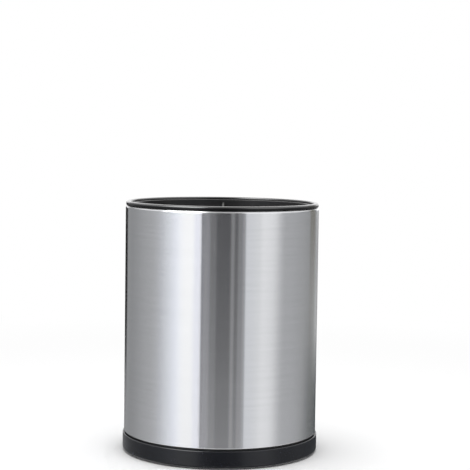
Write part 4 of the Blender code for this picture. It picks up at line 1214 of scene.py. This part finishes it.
sleeve_bore = sleeve_high.x - TURN_IN
sheet_bore = sleeve_high.x - SHEET
sleeve_corners = [
    (sleeve_bore, sleeve_high.z, SHEET_EASE),
    (sleeve_high.x, sleeve_high.z, SLEEVE_TOP_BEND),
    (sleeve_high.x, sleeve_low.z, SLEEVE_LOW_BEND),
    (sleeve_bore, sleeve_low.z, SHEET_EASE),
    (sleeve_bore, sleeve_low.z + SHEET, SHEET_EASE),
    (sheet_bore, sleeve_low.z + SHEET, SLEEVE_LOW_BEND - SHEET),
    (sheet_bore, sleeve_high.z - SHEET, SLEEVE_TOP_BEND - SHEET),
    (sleeve_bore, sleeve_high.z - SHEET, SHEET_EASE),
]
round_angles = even_angles(ROUND_COLUMNS)
seam_span = SEAM_HALF * 3 / sleeve_high.x
seam_angles = math.pi / 2 + np.linspace(-seam_span, seam_span, SEAM_COLUMNS)
clear_angles = round_angles[abs(round_angles - math.pi / 2) > seam_span * 1.5]
sleeve_angles = np.sort(np.concatenate([clear_angles, seam_angles]))
sleeve_grid = turned_grid(rounded(sleeve_corners, SLEEVE_SPANS), sleeve_angles)
seam_offset = np.where(sleeve_grid[..., 1] > 0, sleeve_grid[..., 0], 1.0)
seam_groove = SEAM_DEPTH * np.exp(-((seam_offset / SEAM_HALF) ** 2))
sleeve_grid[..., :2] *= (1 - seam_groove / sleeve_high.x)[..., None]
fit("sleeve", grid_mesh(sleeve_grid), brushed_finish(), "canister", "steel_sleeve")

# Rim ring: the black moulded ring that covers the sleeve's upper edge. It has a round bead, a ledge inside
# for the divider, and a skirt with six barbs that snap behind the turned-in steel.
RIM_SKIRT = 0.0028
RIM_SKIRT_CHAMFER = 0.0010
RIM_LEDGE_DROP = 0.0037
RIM_LIP = 0.0036
RIM_BEAD_ROUND = 0.0016
RIM_INSIDE_ROUND = 0.0012
RIM_EASE = 0.0002
RIM_POLISH_DROP = 0.0019
RIM_BLACK = (0.0040, 0.0041, 0.0048)

rim_low, rim_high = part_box("rim_ring")
rim_seat = sleeve_high.z + SEAT_GAP
rim_ledge = rim_high.z - RIM_LEDGE_DROP
rim_bore = rim_high.x - RIM_LIP
skirt_bore = plug_radius - RIM_SKIRT
rim_corners = [
    (rim_high.x, rim_high.z, RIM_BEAD_ROUND),
    (rim_high.x, rim_seat, RIM_EASE),
    (plug_radius, rim_seat, RIM_EASE / 2),
    (plug_radius, rim_low.z + RIM_SKIRT_CHAMFER, RIM_EASE),
    (plug_radius - RIM_SKIRT_CHAMFER, rim_low.z, RIM_EASE),
    (skirt_bore, rim_low.z, RIM_EASE),
    (skirt_bore, rim_ledge, RIM_EASE),
    (rim_bore, rim_ledge, RIM_EASE),
    (rim_bore, rim_high.z, RIM_INSIDE_ROUND),
]
rim_catch = sleeve_high.z - SHEET - SEAT_GAP
rim_mesh = grid_mesh(barbed_grid(rim_corners, plug_radius, rim_catch, -1))
rim_scuffed = rim_low.z - OVERRUN
rim_polished = rim_high.z - RIM_POLISH_DROP
rim_black = gloss_finish("rim_black", RIM_BLACK, 0.26, rim_scuffed, 0.05, rim_polished, 0.85, 0.02)
fit("rim", rim_mesh, rim_black, "canister", "rim_ring")

# Grip mat: a loose disc of black rubber on the pan's floor, moulded with round studs. It deadens the sound
# of what is dropped in and keeps it from sliding.
MAT_THICK = 0.0024
MAT_EASE = 0.0005
MAT_COLUMNS = 192
STUD_RADIUS = 0.0030
STUD_TOP_SHARE = 0.72
STUD_TOP_ROUND = 0.0004
STUD_PITCH = 0.0199
STUD_RINGS = 3
STUD_FOOT = 0.0003

mat_top = mat_low.z + MAT_THICK
mat_steps = [(mat_high.x, mat_top, MAT_EASE), (mat_high.x, mat_low.z, MAT_EASE)]
stud_steps = [
    (STUD_RADIUS * STUD_TOP_SHARE, mat_high.z, STUD_TOP_ROUND),
    (STUD_RADIUS, mat_top, STUD_FOOT),
    (STUD_RADIUS, mat_top - STUD_FOOT, 0),
]
stud_rings = [round_the_axis(6 * ring, ring * STUD_PITCH) for ring in range(1, STUD_RINGS + 1)]
stud_places = np.concatenate([[(0, 0, 0)], *stud_rings])
studs = turned_plug(stud_steps, SMALL_COLUMNS, stud_places, 4)
mat_mesh = combined("UNION", turned_plug(mat_steps, MAT_COLUMNS), studs)
mat_rubber = rubber_finish("mat_rubber", 2200.0, 0.25)
fit("studded_mat", mat_mesh, mat_rubber, "canister", "grip_mat")

# Divider: a satin black insert with three blades on a hub, which parts the canister into three. Its flange
# hangs on the rim's ledge, and it lifts out for washing.
DIVIDER_FLANGE = 0.0015
HOOP_GAP = 0.0003
HOOP_WALL = 0.0015
HOOP_BOTTOM = 0.1808
HUB_RADIUS = 0.0065
HUB_WALL = 0.0015
HUB_TOP = 0.1885
HUB_ROUND = 0.0020
BLADE_COUNT = 3
BLADE_THICK = 0.0018
BLADE_EDGE = 0.0006
BLADE_ROUNDS = 5
BLADE_OVERLAP = 0.00075
BLADE_TOP_OUTER = 0.1923
BLADE_TOP_INNER = 0.1865
BLADE_DIP = 0.0080
BLADE_CORNER = 0.0080
DIVIDER_EASE = 0.0005
DIVIDER_BLACK = (0.020, 0.020, 0.0215)


def blade_mesh(outline, turn):
    """An upright plate whose outline is distance from the axis + height × 1j, turned about the axis.

    Layers of the outline lie across its thickness. At an angle s along the edge's quarter round, a layer is
    drawn in by edge × (1 - sin s) at half the thickness less edge × (1 - cos s)."""
    ahead, behind = np.roll(outline, -1) - outline, outline - np.roll(outline, 1)
    inward = 1j * (ahead / abs(ahead) + behind / abs(behind))
    inward /= np.maximum(abs(inward), 1e-9)
    s = np.linspace(0, math.pi / 2, BLADE_ROUNDS)
    draws = BLADE_EDGE * (1 - np.sin(s))
    sides = BLADE_THICK / 2 - BLADE_EDGE * (1 - np.cos(s))
    draws = np.concatenate([draws, draws[::-1]])
    sides = np.concatenate([sides, -sides[::-1]])
    layers = outline + inward * draws[:, None]
    across = np.repeat(sides[:, None], len(outline), 1)
    x = layers.real * math.cos(turn) - across * math.sin(turn)
    y = layers.real * math.sin(turn) + across * math.cos(turn)
    index, quads = band_faces(*layers.shape)
    faces = [*quads, index[0].tolist(), index[-1][::-1].tolist()]
    return new_mesh(np.stack([x, y, layers.imag], -1), faces)


divider_low, divider_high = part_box("divider_insert")
hoop_radius = skirt_bore - HOOP_GAP
hoop_bore = hoop_radius - HOOP_WALL
blade_inner = HUB_RADIUS - BLADE_OVERLAP
blade_outer = hoop_bore + BLADE_OVERLAP
hoop_corners = [
    (divider_high.x, divider_high.z, DIVIDER_EASE),
    (divider_high.x, divider_high.z - DIVIDER_FLANGE, DIVIDER_EASE),
    (hoop_radius, divider_high.z - DIVIDER_FLANGE, DIVIDER_EASE / 2),
    (hoop_radius, HOOP_BOTTOM, DIVIDER_EASE),
    (hoop_bore, HOOP_BOTTOM, DIVIDER_EASE),
    (hoop_bore, divider_high.z, DIVIDER_EASE),
]
hub_steps = [
    (HUB_RADIUS, HUB_TOP, HUB_ROUND),
    (HUB_RADIUS, divider_low.z, DIVIDER_EASE),
    (HUB_RADIUS - HUB_WALL, divider_low.z, DIVIDER_EASE),
    (HUB_RADIUS - HUB_WALL, HUB_TOP - HUB_WALL, DIVIDER_EASE),
]
share = np.linspace(0, 1, 40)
blade_top = BLADE_TOP_INNER + (BLADE_TOP_OUTER - BLADE_TOP_INNER) * share
blade_top -= BLADE_DIP * np.sin(math.pi * share) ** 2
top_edge = blade_inner + (blade_outer - blade_inner) * share + 1j * blade_top
corner_turn = np.linspace(0, -math.pi / 2, 12)
corner_across = blade_outer - BLADE_CORNER + BLADE_CORNER * np.cos(corner_turn)
corner_height = divider_low.z + BLADE_CORNER + BLADE_CORNER * np.sin(corner_turn)
corner_arc = corner_across + 1j * corner_height
blade_outline = np.concatenate([top_edge, corner_arc, [blade_inner + 1j * divider_low.z]])[::-1]
blades = [blade_mesh(blade_outline, turn) for turn in math.pi / 2 + even_angles(BLADE_COUNT)]
hub_mesh = turned_plug(hub_steps, PIVOT_COLUMNS)
divider_mesh = combined("UNION", turned(hoop_corners), hub_mesh, *blades)
satin_divider = satin_finish("satin_divider", DIVIDER_BLACK, 0.44, 3000.0, 0.15, 0.5)
fit("divider", divider_mesh, satin_divider, "divider", "divider_insert")
